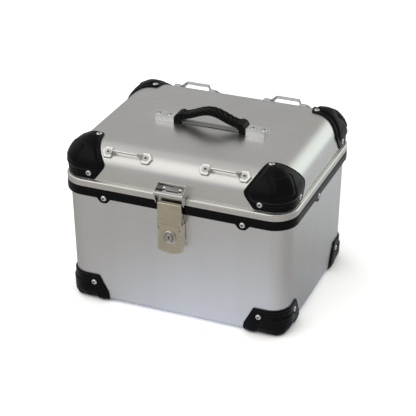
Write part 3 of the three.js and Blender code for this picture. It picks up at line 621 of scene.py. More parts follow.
def screw_mesh(name, radius, height, shank, nut=True):
    """A button-head socket screw, its seat at z = 0, with a nut on the inside of the sheet."""
    head = [(0, height - 1.9), (SOCKET, height - 1.9), (SOCKET, height - 0.25),
            (SOCKET + 0.35, height), (radius * 0.6, height - 0.1), (radius * 0.86, height * 0.62),
            (radius, height * 0.22), (radius, 0), (2.0, 0), (2.0, -shank), (0, -shank)]
    shape = turned(head, steps=24, reach=lambda angle, row: hex_reach(angle) if row < 2 else 1)
    if nut:
        shape = joined(shape, prism(circle(3.8, 6), -shank + 0.6, -shank + 3.2, "z"))
    return mesh_from(shape, name, smooth=32)


def rivet_mesh(name, radius=4.0, height=1.5):
    """A blind rivet's domed head, with its drawn-off mandrel end in the middle."""
    dome = [(0, height - 0.5), (radius * 0.26, height - 0.5), (radius * 0.3, height)]
    dome += [(radius * math.cos(t), height * math.sin(t)) for t in np.radians([60, 40, 20, 0])]
    dome += [(radius * 0.5, -0.6), (0, -0.6)]
    return mesh_from(turned(dome, steps=24), name, smooth=40)


def build_band_screws():
    screw = screw_mesh("band_screw", SCREW_R, 2.4, 10.5)
    for tag in SCREW_TABS:
        seat, out = band_screw_place(tag)
        piece("edge_screw_" + tag, screw, "base", SCREW_STEEL, "band_screw_" + tag,
              stand(seat - out * 0.6, out))


# Corner guards ------------------------
def past_corner(a, b):
    """Signed distance outside a square corner, from the distances past its two sides."""
    return np.hypot(np.maximum(a, 0), np.maximum(b, 0)) + np.minimum(np.maximum(a, b), 0)


def fold_distance(p, inset, radius, over):
    """Signed distance of p to a wall that folds round `radius` into a level panel. `inset` is the
    wall's, and `over` is how far p is outside the panel's plane."""
    depth = CORNER_R - past_corner(CORNER_R - p[..., 0], CORNER_R - p[..., 1])
    return past_corner(inset - depth + radius, over + radius) - radius


def tub_surface(p):
    return fold_distance(p, tub_inset(p[..., 2] - FLOOR), TUB_FILLET, FLOOR - p[..., 2])


def lid_surface(p):
    return fold_distance(p, LID_INSET, LID_EDGE_R, p[..., 2] - LID_TOP)


def unit(v):
    return v / np.linalg.norm(v, axis=-1, keepdims=True)


def cast_to(surface, heart, directions):
    """Where rays from a point inside leave a surface that is given by its signed distance."""
    near, far = np.zeros(len(directions)), np.full(len(directions), 200.0)
    for _ in range(40):
        middle = (near + far) / 2
        inside = surface(heart + directions * middle[:, None]) < 0
        near, far = np.where(inside, middle, near), np.where(inside, far, middle)
    return heart + directions * near[:, None]


def surface_normal(surface, p):
    steps = np.eye(3) * 0.05
    return unit(np.stack([surface(p + step) - surface(p - step) for step in steps], axis=-1))


def smooth_step(value, low, high):
    t = np.clip((value - low) / (high - low), 0, 1)
    return t * t * (3 - 2 * t)


def ridge(value, middle, width):
    """A smooth bump of height 1."""
    return np.exp(-((value - middle) / width) ** 2)


RINGS, BORDER_RINGS = 44, 14        # from a guard's middle to its outline
OUTLINE_STEPS = 6                   # between two points of the outline


def guard_shape(surface, heart, centre, half, relief):
    """A moulded guard laid over a corner. `half` is its outline on one side of the diagonal;
    `relief(feet, direction, margin)` is its height over the sheet, margin mm from the outline."""
    heart, half = np.array(heart, float), np.array(half, float)
    half[:, 2] += FLOOR
    corners = unit(np.vstack([half, half[1:-1][::-1][:, [1, 0, 2]]]) - heart)
    share = np.arange(OUTLINE_STEPS)[:, None] / OUTLINE_STEPS
    nexts = np.roll(corners, -1, axis=0)
    rays = unit(((1 - share) * corners[:, None] + share * nexts[:, None]).reshape(-1, 3))
    rays = unit(rays * 0.5 + 0.25 * (np.roll(rays, 1, axis=0) + np.roll(rays, -1, axis=0)))
    border = 1 - 0.14 * (1 - np.linspace(0.06, 1, BORDER_RINGS)) ** 1.6
    shares = np.append(np.linspace(0.03, 0.86, RINGS - BORDER_RINGS), border)[:, None, None]
    flat = unit((1 - shares) * unit(centre - heart) + shares * rays[None]).reshape(-1, 3)
    feet = cast_to(surface, heart, flat)
    edge = cast_to(surface, heart, rays)
    run = np.roll(edge, -1, axis=0) - edge
    along = ((feet[:, None] - edge) * run).sum(2) / (run * run).sum(1)
    nearest = edge + np.clip(along, 0, 1)[..., None] * run
    margin = np.linalg.norm(feet[:, None] - nearest, axis=2).min(axis=1)
    normals = surface_normal(surface, feet)
    count = len(rays)
    skin = grid_faces(RINGS, count) + [tuple(reversed(range(count)))]
    inside = RINGS * count
    rim = inside - count
    faces = skin + [tuple(i + inside for i in face) for face in skin]
    for k in range(count):
        nxt = (k + 1) % count
        faces.append((rim + k, rim + nxt, inside + rim + nxt, inside + rim + k))
    outer = feet + normals * relief(feet, flat, margin)[:, None]
    return np.vstack([outer, feet + normals * 0.05]), faces


LID_HEART = (62, 62, 243 + FLOOR)   # where the lid guard's rays start; corner coordinates
LID_MIDDLE = (14, 14, 268 + FLOOR)
LID_GUARD_HALF = [(60.5, 60.5, 298), (62.5, 56, 298), (64, 46, 298), (66, 36, 297),
                  (69.5, 25, 292), (75, 16, 284), (80.5, 11, 275), (85, 8.6, 266.5), (83, 7, 260),
                  (75, 6.5, 249), (66.5, 6.5, 237.6), (50, 6.5, 237.6), (34, 7.6, 237.6),
                  (24, 11.5, 237.6), (17.1, 17.1, 237.6)]       # z over the tub's floor
BASE_HEART = (62, 62, 46 + FLOOR)
BASE_MIDDLE = (20, 20, 14 + FLOOR)
BASE_GUARD_HALF = [(21, 21, 48), (27, 14, 48), (40, 10, 48), (54, 9.9, 48), (66, 9.9, 48),
                   (74, 10.2, 32), (83, 10.6, 15), (84, 11, 7), (82, 15, 1), (79, 22, 0),
                   (72, 36, 0), (64, 50, 0), (57, 57, 0)]
GUARD_SCREW = 55.7                  # face screws, from the outer planes
LID_SCREW_Z = 248.7 + FLOOR
LID_TOP_SCREW = 53.6
BASE_SCREW_Z = 32.3 + FLOOR
BASE_INSET = tub_inset(BASE_SCREW_Z - FLOOR)
GUARD_SCREWS = {                    # ((a, b, z), facing)
    "lid": [((GUARD_SCREW, LID_INSET, LID_SCREW_Z), (0, 1, 0)),
            ((LID_INSET, GUARD_SCREW, LID_SCREW_Z), (1, 0, 0)),
            ((LID_TOP_SCREW, LID_TOP_SCREW, LID_TOP), (0, 0, 1))],
    "base": [((GUARD_SCREW, BASE_INSET, BASE_SCREW_Z), (0, 1, 0)),
             ((BASE_INSET, GUARD_SCREW, BASE_SCREW_Z), (1, 0, 0))]}
SEAT_H = 2.8                        # guard height under a screw head
SHIELD_REACH = 66                   # the lid guard's shield, from the heart
SHIELD_CLIMB = 36                   # how far the shield's middle is up the dome


def with_seats(height, feet, body):
    """Presses round flat seats for a guard's screws into its height."""
    for place, _ in GUARD_SCREWS[body]:
        near = 1 - smooth_step(np.linalg.norm(feet - np.array(place), axis=1), 6.4, 7.6)
        height = height * (1 - near) + SEAT_H * near
    return height


def lip(margin, thick):
    """The guard's outer edge: rounded over, with a low raised border behind it."""
    over = np.sqrt(np.clip(1 - (1 - np.clip(margin / 1.4, 0, 1)) ** 2, 0, 1))
    return 0.9 + (thick - 0.9) * over + 0.55 * ridge(margin, 2.4, 1.1)


def lid_relief(feet, direction, margin):
    """Thin skirt, a dome over it with a grooved shield on its nose, and two ribs round the skirt."""
    across = np.abs(feet[:, 0] - feet[:, 1]) / math.sqrt(2)
    climb = np.arcsin(np.clip(direction[:, 2], -1, 1)) * SHIELD_REACH
    z = feet[:, 2] - FLOOR
    height = lip(margin, 2.6)
    dome = smooth_step(np.minimum(margin - 6.0, (z - 251.5) * 0.9), 0, 6)
    height = height + 2.6 * dome + 1.0 * smooth_step(margin, 4, 22)
    panel = past_corner(across - 11, np.abs(climb - SHIELD_CLIMB) - 11) - 6
    height = height + 1.2 * (1 - smooth_step(panel, -4.4, -0.2)) - 1.3 * ridge(panel, 0, 1.7)
    around = smooth_step(margin, 3, 6) * (1 - smooth_step(across, 27, 34))
    for rib_z, rib_h in ((244.4, 0.8), (249.4, 0.9)):
        height = height + rib_h * around * ridge(z, rib_z, 1.15)
    return with_seats(height, feet, "lid")


def base_relief(feet, direction, margin):
    """A belly low on the corner, two ribs above it, and hollows towards the floor."""
    z = feet[:, 2] - FLOOR
    along = np.abs(feet[:, 0] - feet[:, 1])
    belly = smooth_step(34 - z, 0, 5) * smooth_step(margin, 3, 9)
    height = lip(margin, 2.8) + 2.4 * belly * (1 - 0.45 * smooth_step(along, 26, 52))
    around = smooth_step(margin, 2, 5) * (1 - smooth_step(along, 24, 40))
    height = height + 1.0 * around * ridge(z, 31, 1.6) + 0.6 * around * ridge(z, 39.5, 1.2)
    hollow = smooth_step(14 - z, 0, 9) * 2.6 * (smooth_step(along, 6, 22)
                                                * (1 - smooth_step(along, 46, 51)))
    height = np.maximum(height - hollow, np.minimum(height, 1.2))
    return with_seats(height, feet, "base")


def build_guards():
    shapes = {"lid": guard_shape(lid_surface, LID_HEART, LID_MIDDLE, LID_GUARD_HALF, lid_relief),
              "base": guard_shape(tub_surface, BASE_HEART, BASE_MIDDLE, BASE_GUARD_HALF,
                                  base_relief)}
    shapes["base"][0][:, 2] = np.maximum(shapes["base"][0][:, 2], 0.0)
    screw = screw_mesh("guard_screw", SCREW_R, 2.2, 7.5)
    for tag, (sx, sy) in CORNERS.items():
        for body, (points, faces) in shapes.items():
            placed = (np.array([HALF_W, HALF_D, 0]) - points * [1, 1, -1]) * [sx, sy, 1]
            piece(f"{body}_corner_{tag}", (placed, faces), body, BLACK_PLASTIC,
                  f"{body}_guard_{tag}", weighted=False, smooth=50)
            for index, ((a, b, z), out) in enumerate(GUARD_SCREWS[body]):
                facing = np.array(out) * [sx, sy, 1]
                at = np.array([sx * (HALF_W - a), sy * (HALF_D - b), z]) + facing * (SEAT_H + 0.05)
                piece(f"{body}_corner_screw_{tag}{index + 1}", screw, body, SCREW_STEEL,
                      matrix=stand(at, facing))


# Tie-down loops ------------------------
TIE_SLOPE = math.radians(47)
TIE_SCREW = 34.5                    # screws from the loop's middle
TIE_FOOT = 11.8                     # radius of the hexagonal feet
TIE_SEAT = 2.9                      # of the screw heads over the sheet
TIE_BAR = 14.6                      # top of the bar over the sheet
TIE_VOXEL = 0.42


def tie_down_mesh():
    """One cast skin. Local frame: x along the case, y up the slope, z out of the sheet."""
    parts = []
    for side in (-1, 1):
        foot = circle(TIE_FOOT, 6, (side * TIE_SCREW, 0))
        top = circle(TIE_FOOT - 1.1, 6, (side * TIE_SCREW, 0))
        parts.append(prism(foot, -2.8, 2.6, "z"))
        parts.append(hull([(x, y, 2.5) for x, y in foot] + [(x, y, 3.8) for x, y in top]))
        root = side * (TIE_SCREW - 5.6)
        parts.append(hull([(root, y, z) for y in (-5.6, 5.6) for z in (0.2, 3.8)]
                          + [(side * 25.6, y, 2.8) for y in (-4.2, 4.2)]
                          + [(side * 23.6, y, 12.2) for y in (-1.5, 1.5)]
                          + [(side * 20.5, y, z) for y in (-1.5, 1.5) for z in (9.2, TIE_BAR)]))
    section = rounded_outline([(-1.6, 9.0), (1.6, 9.0), (1.6, TIE_BAR), (-1.6, TIE_BAR)], 1.0)
    parts.append(prism(section, -22.4, 22.4, "x"))
    skin = linked("tie_down", mesh_from(joined(*parts), "tie_down"))
    remesh = skin.modifiers.new("skin", "REMESH")
    remesh.mode, remesh.voxel_size = "VOXEL", TIE_VOXEL * MM
    relax = skin.modifiers.new("relax", "SMOOTH")
    relax.factor, relax.iterations = 0.5, 3
    mesh = settle(skin)
    p = np.array([v.co for v in mesh.vertices]) / MM
    from_axis = np.hypot(np.abs(p[:, 0]) - TIE_SCREW, p[:, 1])
    p[:, 2] = np.minimum(p[:, 2], TIE_SEAT + 3 * np.maximum(from_axis - 5.6, 0))
    sheet = np.sqrt(LID_EDGE_R ** 2 - np.clip(p[:, 1], -20, 20) ** 2) - LID_EDGE_R
    feet = np.abs(p[:, 0]) > 22.5
    p[feet, 2] = np.maximum(p[feet, 2], sheet[feet] + 0.02)
    mesh.vertices.foreach_set("co", (p * MM).astype(np.float32).ravel())
    mesh.update()
    return shaded(mesh, 50)


def build_tie_downs():
    loop = tie_down_mesh()
    screw = screw_mesh("tie_screw", 4.6, 2.0, 6.5)
    inset = LID_INSET + LID_EDGE_R * (1 - math.cos(TIE_SLOPE))
    height = LID_TOP - LID_EDGE_R * (1 - math.sin(TIE_SLOPE))
    for tag, (sx, sy) in CORNERS.items():
        turn = Matrix.Rotation(0 if sy < 0 else math.pi, 4, "Z")
        tilt = Matrix.Rotation(math.pi / 2 - TIE_SLOPE, 4, "X")
        middle = put_at(middle_of("tie_down_" + tag)[0], sy * (HALF_D - inset), height)
        place = middle @ turn @ tilt
        piece("tie_loop_" + tag, loop, "lid", TIE_METAL, "tie_down_" + tag, place, weighted=False)
        for side in (-1, 1):
            number = 1 if side == sy else 2
            piece(f"loop_screw_{tag}{number}", screw, "lid", SCREW_STEEL,
                  f"tie_screw_{tag}{number}", place @ put_at(side * TIE_SCREW, 0, TIE_SEAT))


# Handle ------------------------
grip_low, grip_high = box_mm("handle_grip")
HANDLE_X, HANDLE_Y, _ = middle_of("handle_grip")
GRIP_END = (grip_high[0] - grip_low[0]) / 2        # outer faces of the collars
COLLAR_W = 11
GRIP_LOW = 13.2                     # grip's middle line over the lid, at the collars
GRIP_HIGH = 28
GRIP_HALF = 11.8
GRIP_THICK = 5.8
GRIP_ROWS, GRIP_COLUMNS = 360, 72
PLAIT_PITCH = 9.5
SCREW_OUT = [GRIP_END + 11, GRIP_END + 31]
BRACKET_TOP = 9.7                   # over the lid
BRACKET_HALF = 10.6
SCREW_PIT = 1.7                     # depth of the round pocket under each bracket screw
ON_LID = put_at(HANDLE_X, HANDLE_Y, LID_FLAT)


def arch(x):
    """Height of the grip's middle line."""
    bow = 0.5 + 0.5 * np.cos(math.pi * np.clip(np.abs(x) / (GRIP_END - COLLAR_W), 0, 1))
    return LID_FLAT + GRIP_LOW + (GRIP_HIGH - GRIP_LOW) * bow


def plaited_grip():
    """The grip: a flat strap bent to the arch, its top and edges plaited in a herringbone."""
    reach = GRIP_END - COLLAR_W + 3
    around = np.linspace(0, 2 * math.pi, GRIP_COLUMNS, endpoint=False)
    c, s = np.cos(around), np.sin(around)
    flat_y = GRIP_HALF * np.sign(c) * np.abs(c) ** 0.72
    flat_h = GRIP_THICK * np.sign(s) * np.abs(s) ** 0.72
    step = 0.05
    loops = []
    for x in np.linspace(-reach, reach, GRIP_ROWS):
        slope = (arch(x + step) - arch(x - step)) / (2 * step)
        up = np.array([-slope, 0, 1]) / math.hypot(slope, 1)
        strand = x / PLAIT_PITCH + np.where(flat_y > 0, 0.5, 0.0) - np.abs(flat_y) / 11
        round_top = np.abs(np.cos(math.pi * strand)) ** 0.7
        top = smooth_step(s, -0.35, 0.25) * smooth_step(reach - abs(x), 2, 6)
        swell = 1.9 * top * (round_top - 0.55) - 0.9 * top * ridge(flat_y, 0, 1.1)
        belly = 1 + 0.06 * math.cos(math.pi * x / (2 * reach))
        y, h = flat_y * belly + 0.5 * swell * c, flat_h + swell * np.maximum(s, 0.2)
        loops.append(np.array([x, 0, arch(x)]) + h[:, None] * up + y[:, None] * [0, 1, 0])
    return capped_loops(loops)


def collar(side):
    """The thick block at one end of the grip: slanted outside, hollow arch inside."""
    inner = GRIP_END - COLLAR_W
    outline = rounded_outline([(inner, 0.2), (GRIP_END, 0.2), (GRIP_END + 0.2, 10.5),
                               (GRIP_END - 4, 17.6), (inner - 1, 19.2), (inner - 3.6, 18.4),
                               (inner - 4.2, 8.6), (inner - 0.6, 7.6)],
                              [1, 1.5, 4, 4, 2, 2, 2, 3], 5)
    half = GRIP_HALF + 0.8
    return prism([(side * x, LID_FLAT + z) for x, z in outline], -half, half, "y")


def end_bracket_mesh(side):
    """Cast end block: a rounded bar with two lobes at its outer end, carved for the screws."""
    near, far = GRIP_END + 0.4, GRIP_END + 33.0
    low, high, half = -0.9, BRACKET_TOP, BRACKET_HALF
    lobe, apart = 5.2, 5.3
    outline = [(side * near, -half)]
    for centre in (-apart, apart):
        outline += [(side * (far + math.sin(turn) * lobe), centre - math.cos(turn) * lobe)
                    for turn in np.linspace(0.15, math.pi - 0.15, 12)]
    outline.append((side * near, half))
    bar = linked("bracket", mesh_from(prism(outline, low, high, "z"), "bracket"))
    collar_side = block(*sorted((side * (near - 0.1), side * (near + 5.4))), -half - 0.5,
                        half + 0.5, low - 0.1, high + 1.1)
    pockets = joined(*[rod((side * x, 0, high - SCREW_PIT), (side * x, 0, high + 4), 6.2)
                       for x in SCREW_OUT])
    return with_edges(carve(bar, pockets), 0.9, collar_side)


def build_handle():
    place = put_at(HANDLE_X, HANDLE_Y, 0)
    piece("plaited_grip", plaited_grip(), "lid", GRIP_RUBBER, "handle_grip", place, weighted=False,
          smooth=60)
    screw = screw_mesh("handle_screw", 4.9, 2.3, 9, nut=False)
    for tag, side in SIDES:
        piece("grip_collar_" + tag, collar(side), "lid", GRIP_RUBBER, matrix=place, bevel=1.6,
              segments=4)
    for tag, side in SIDES:
        piece("grip_bracket_" + tag, end_bracket_mesh(side), "lid", CAST_ALLOY,
              "handle_end_" + tag, ON_LID, weighted=False)
        for index, x in enumerate(SCREW_OUT):
            piece(f"bracket_screw_{tag}{index + 1}", screw, "lid", SCREW_STEEL,
                  f"handle_screw_{tag}{index + 1}",
                  ON_LID @ put_at(side * x, 0, BRACKET_TOP - SCREW_PIT))
    # The strip shows only under the grip; its dark steel is painted shade there.
    strip = block(-GRIP_END - 34, GRIP_END + 34, -6, 6, 0.9, 2.6)
    piece("grip_strip", strip, "lid", STRIP_STEEL_SHADED, "handle_core", ON_LID, bevel=0.3)


# Latch ------------------------
_, LATCH_FACE, _ = box_mm("latch_link")[0]                     # y of the latch's front face
_, _, LINK_HIGH = box_mm("latch_link")[1]
_, _, LEVER_LOW = box_mm("latch_lever")[0]
LEVER_HIGH = FLOOR + 186.7
LINK_LOW = FLOOR + 186.95
LATCH_HALF = 22.2
PLATE = 1.6
FOLD_R = 2.4
LEVER_SAG = 4.6                     # how much lower the lever's end is in the middle
PIVOT = (-HALF_D - 4.3, FLOOR + 188)
LINK_PIN = (PIVOT[0] - 2.5, PIVOT[1] - 6.5)
LOCK_Z = FLOOR + 164
EAR = (LATCH_HALF - 3.4, LATCH_HALF - 2)
FLANGE = (LATCH_HALF - PLATE, LATCH_HALF)
ARM = (LATCH_HALF - 3.7, LATCH_HALF - 2.5)


def both_sides(make, span):
    """What `make(x0, x1)` makes over a span on the right, and over its mirror on the left."""
    return joined(make(*span), make(-span[1], -span[0]))


def rod_x(x0, x1, at, radius, steps=28, edge=0.0):
    return rod((x0, at[0], at[1]), (x1, at[0], at[1]), radius, steps, edge)


def folded_tray(name, strips, cheek, sag=0.0):
    """A folded sheet. `strips` is its front path as (y, z, drop); a row with drop 1 bows down by
    `sag` in the middle. `cheek` is the outline of both side flanges: row numbers or (y, z)."""
    work = bmesh.new()
    across = np.linspace(-LATCH_HALF, LATCH_HALF, 17)
    rows = [[work.verts.new((x * MM, y * MM, (z + drop * sag * (x / LATCH_HALF) ** 2) * MM))
             for x in across] for y, z, drop in strips]
    for upper, lower in zip(rows, rows[1:]):
        for k in range(len(across) - 1):
            work.faces.new((upper[k], upper[k + 1], lower[k + 1], lower[k]))
    for side in (0, -1):
        x = across[side] * MM
        work.faces.new([rows[at][side] if isinstance(at, int)
                        else work.verts.new((x, at[0] * MM, at[1] * MM)) for at in cheek])
    bmesh.ops.recalc_face_normals(work, faces=work.faces)
    bevel_edges(work, 20, FOLD_R, 5, 0.5)
    front = min(work.faces, key=lambda f: f.calc_center_median().y)
    if front.normal.y > 0:
        bmesh.ops.reverse_faces(work, faces=work.faces)
    mesh = bpy.data.meshes.new(name)
    work.to_mesh(mesh)
    work.free()
    thing = linked(name, mesh)
    shell = thing.modifiers.new("sheet", "SOLIDIFY")
    shell.thickness, shell.offset, shell.use_even_offset = PLATE * MM, -1.0, True
    return thing


def build_lever():
    face, rear, low, high = LATCH_FACE, PIVOT[0] + 10, LEVER_LOW, LEVER_HIGH
    path = [(face, high, 0), (face, low + 14, 0), (face, low, 1), (face + 5.4, low + 0.9, 1)]
    tray = folded_tray("lever", path, [0, 1, 2, 3, (rear, low + 19), (rear, high)], LEVER_SAG)
    slots = both_sides(lambda a, b: block(a, b, face - 1, face + PLATE + 0.4, high - 9.5, high + 1),
                       (ARM[0] - 0.25, ARM[1] + 0.25))
    bore = rod((0, face - 2, LOCK_Z), (0, face + 4, LOCK_Z), 9.8)
    lobes = both_sides(lambda a, b: rod_x(a + 0.03, b - 0.03, PIVOT, 4.2), FLANGE)
    mesh = with_edges(carve(tray, joined(slots, bore)), 0.25, lobes)
    piece("latch_lever_plate", mesh, "latch_lever", STAINLESS, "latch_lever")


def build_link():
    face, low, high = LATCH_FACE, LINK_LOW, LINK_HIGH
    path = [(face, low, 0), (face, low + 13, 0), (face, high, 0), (face + 5.6, high, 0)]
    mesh = settle(folded_tray("link", path, [1, 2, 3, (face + 6.4, low + 13)]))
    ends = circle(3.1, 20, LINK_PIN)
    ends += [(face + out, low + up) for up in (8, 20) for out in (1.4, 4.4)]
    arms = both_sides(lambda a, b: hull([(x, y, z) for x in (a, b) for y, z in ends]), ARM)
    piece("latch_link_plate", with_edges(mesh, 0.25, arms), "latch_link", STAINLESS, "latch_link")


def tub_wall(z):
    """How far the tub's outer wall, and a gap, is from the case's middle plane."""
    return HALF_D - tub_inset(z - FLOOR) + 0.2


def build_latch_base():
    low, high = FLOOR + 150, FLOOR + 203
    wall_low, wall_high, front = -tub_wall(low), -tub_wall(high), PIVOT[0] + 1.6
    back = prism([(wall_low, low), (wall_low - PLATE, low), (wall_high - PLATE, high),
                  (wall_high, high)], -EAR[1], EAR[1], "x")
    ear = rounded_outline([(-tub_wall(low + 5) - 0.5, low + 5), (front, low + 5),
                           (front, PIVOT[1] - 6), (PIVOT[0] - 3, PIVOT[1] - 1),
                           (PIVOT[0] - 2, PIVOT[1] + 3), (wall_high - 0.5, high - 4)],
                          [0.1, 2, 3, 3, 3, 0.1])
    ears = both_sides(lambda a, b: prism(ear, a, b, "x"), EAR)
    lips = both_sides(lambda a, b: block(a, b, front, front + 1.2, LOCK_Z - 4, LOCK_Z + 4),
                      (10, EAR[1] - 0.1))
    piece("latch_channel", joined(back, ears, lips), "base", ZINC, "latch_base", bevel=0.25)
    rivet = rivet_mesh("latch_rivet", 3.4, 1.2)
    for index, (x, z) in enumerate((x, z) for z in (low + 4, high - 5) for x in (-9, 9)):
        piece(f"latch_rivet_{index + 1}", rivet, "base", ZINC,
              matrix=stand((x, -tub_wall(z) - PLATE, z), (0, -1, 0)))
    for tag, side in SIDES:
        stem = rod_x(side * (EAR[0] - 0.3), side * (LATCH_HALF + 0.5), PIVOT, 1.8)
        cap = rod_x(side * (LATCH_HALF + 0.1), side * (LATCH_HALF + 1.6), PIVOT, 2.8, edge=0.5)
        piece("lever_pivot_" + tag, joined(stem, cap), "base", CHROME, "latch_pivot_" + tag)


def build_catch():
    half, near = 26, -(HALF_D + 0.8)
    wall, top = -(HALF_D - LID_INSET + 0.15), FLOOR + 256.5
    roll_y, roll_z = LATCH_FACE - 2.5, FLOOR + 244.8
    floor = RIM_TOP + 1.3
    skin = rounded_outline([(wall, top), (wall - PLATE, top), (wall - PLATE, floor + PLATE),
                            (roll_y + 7, floor + PLATE), (roll_y + 2, roll_z - 1),
                            (roll_y - 1, roll_z - 2), (roll_y + 6.4, floor), (wall, floor)],
                           [0.1, 0.6, 3, 4, 1, 1, 5, 2], 6)
    gusset = rounded_outline([(wall, top), (wall - 2.2, top), (roll_y - 1.4, roll_z + 3.2),
                              (roll_y - 3.2, roll_z), (roll_y - 1.5, roll_z - 4),
                              (roll_y + 5, floor), (wall, floor)], [0.1, 2, 3, 2, 2, 2, 1])
    ear = rounded_outline([(near, floor + 0.4), (roll_y, roll_z - 2), (roll_y - 0.5, roll_z - 7),
                           (near - 6, FLOOR + 223), (near - 3, FLOOR + 221), (near, FLOOR + 223)],
                          [1, 1, 5, 3, 3, 1])
    cheeks = both_sides(lambda a, b: joined(prism(gusset, a, b, "x"),
                                            prism(ear, a + 0.02, b - 0.02, "x")),
                        (half - PLATE, half + 0.05))
    nose = rod_x(-half, half, (roll_y, roll_z), 3.1, 40)
    piece("catch_plate", joined(prism(skin, -half, half, "x"), nose, cheeks), "lid", CHROME,
          "latch_catch", bevel=0.3, smooth=40)
    screw = screw_mesh("catch_screw", 4.7, 2.2, 6)
    for tag, _ in SIDES:
        x, _, z = middle_of("catch_screw_" + tag)
        piece("plate_screw_" + tag, screw, "lid", SCREW_STEEL, "catch_screw_" + tag,
              stand((x, wall - PLATE, z), (0, -1, 0)))


def build_lock():
    front = LATCH_FACE - 3.3
    at, into = (0, front, LOCK_Z), (0, 1, 0)
    barrel = [(10.0 - 2.6 * math.cos(turn), 2.6 - 2.6 * math.sin(turn))
              for turn in np.linspace(0, math.pi, 14)]
    barrel += [(12.6, 3.15), (9.4, 3.15), (9.4, 12.2), (7.4, 12.2)]
    piece("lock_barrel_ring", turned(barrel, at, into, 64), "latch_lever", CHROME, "lock_barrel",
          smooth=25)
    nut = turned([(9.8, 0), (12.4, 0), (12.6, 0.3), (12.6, 3), (12.4, 3.3), (9.8, 3.3)],
                 (0, LATCH_FACE + PLATE + 0.1, LOCK_Z), into, 24,
                 reach=lambda angle, row: hex_reach(angle) * 0.93 if 0 < row < 5 else 1)
    piece("lock_back_nut", nut, "latch_lever", ZINC, "lock_nut", smooth=25)
    pin = rod_x(-LATCH_HALF - 0.5, LATCH_HALF + 0.5, LINK_PIN, 1.8, edge=0.4)
    piece("link_hinge_pin", pin, "latch_lever", CHROME, "link_pin")
    cam_y = LATCH_FACE + 9.4
    deep = cam_y - front
    face = [(0, 0.9), (5.4, 0.9), (5.9, 0.25), (6.5, 0), (7, 0.4), (7, deep - 0.4),
            (3, deep - 0.4), (3, deep + 2.2), (0, deep + 2.2)]
    piece("lock_plug_face", turned(face, at, into, 48), "lock_core", LOCK_METAL, "lock_plug",
          smooth=25)
    # The keyway is a thin black block on the plug's face: painted shade for the slot's depth.
    slot = joined(block(-0.5, 0.5, front + 0.55, front + 0.95, LOCK_Z - 3.2, LOCK_Z + 3.2),
                  block(-1.2, -0.5, front + 0.55, front + 0.95, LOCK_Z - 0.9, LOCK_Z + 0.3))
    piece("keyway_shade", slot, "lock_core", BLACK_PLASTIC, slot="lock_metal")
    finger = rounded_outline([(-3.6, LOCK_Z - 13.2), (3.6, LOCK_Z - 13.2), (3.6, LOCK_Z),
                              (-3.6, LOCK_Z)], 2)
    cam = joined(prism(circle(5.4, 32, (0, LOCK_Z)), cam_y, cam_y + 1.5, "y"),
                 prism(finger, cam_y + 0.02, cam_y + 1.48, "y"))
    piece("lock_cam_plate", cam, "lock_core", ZINC, "lock_cam", bevel=0.2)
    piece("cam_hold_screw", screw_mesh("cam_screw", 4.4, 1.8, 1, nut=False), "lock_core", ZINC,
          "cam_screw", stand((0, cam_y + 1.6, LOCK_Z), into))


# Hinges ------------------------
_, HINGE_Y, HINGE_Z = next(np.array(joint["pos_m"], float) / MM for joint in frame["joints"]
                           if joint["name"] == "lid_hinge")
HINGE = (HINGE_Y, HINGE_Z)
KNUCKLE_R = 5
LEAF = 2.2
KNUCKLE_GAP = 0.15                  # at each end of a knuckle


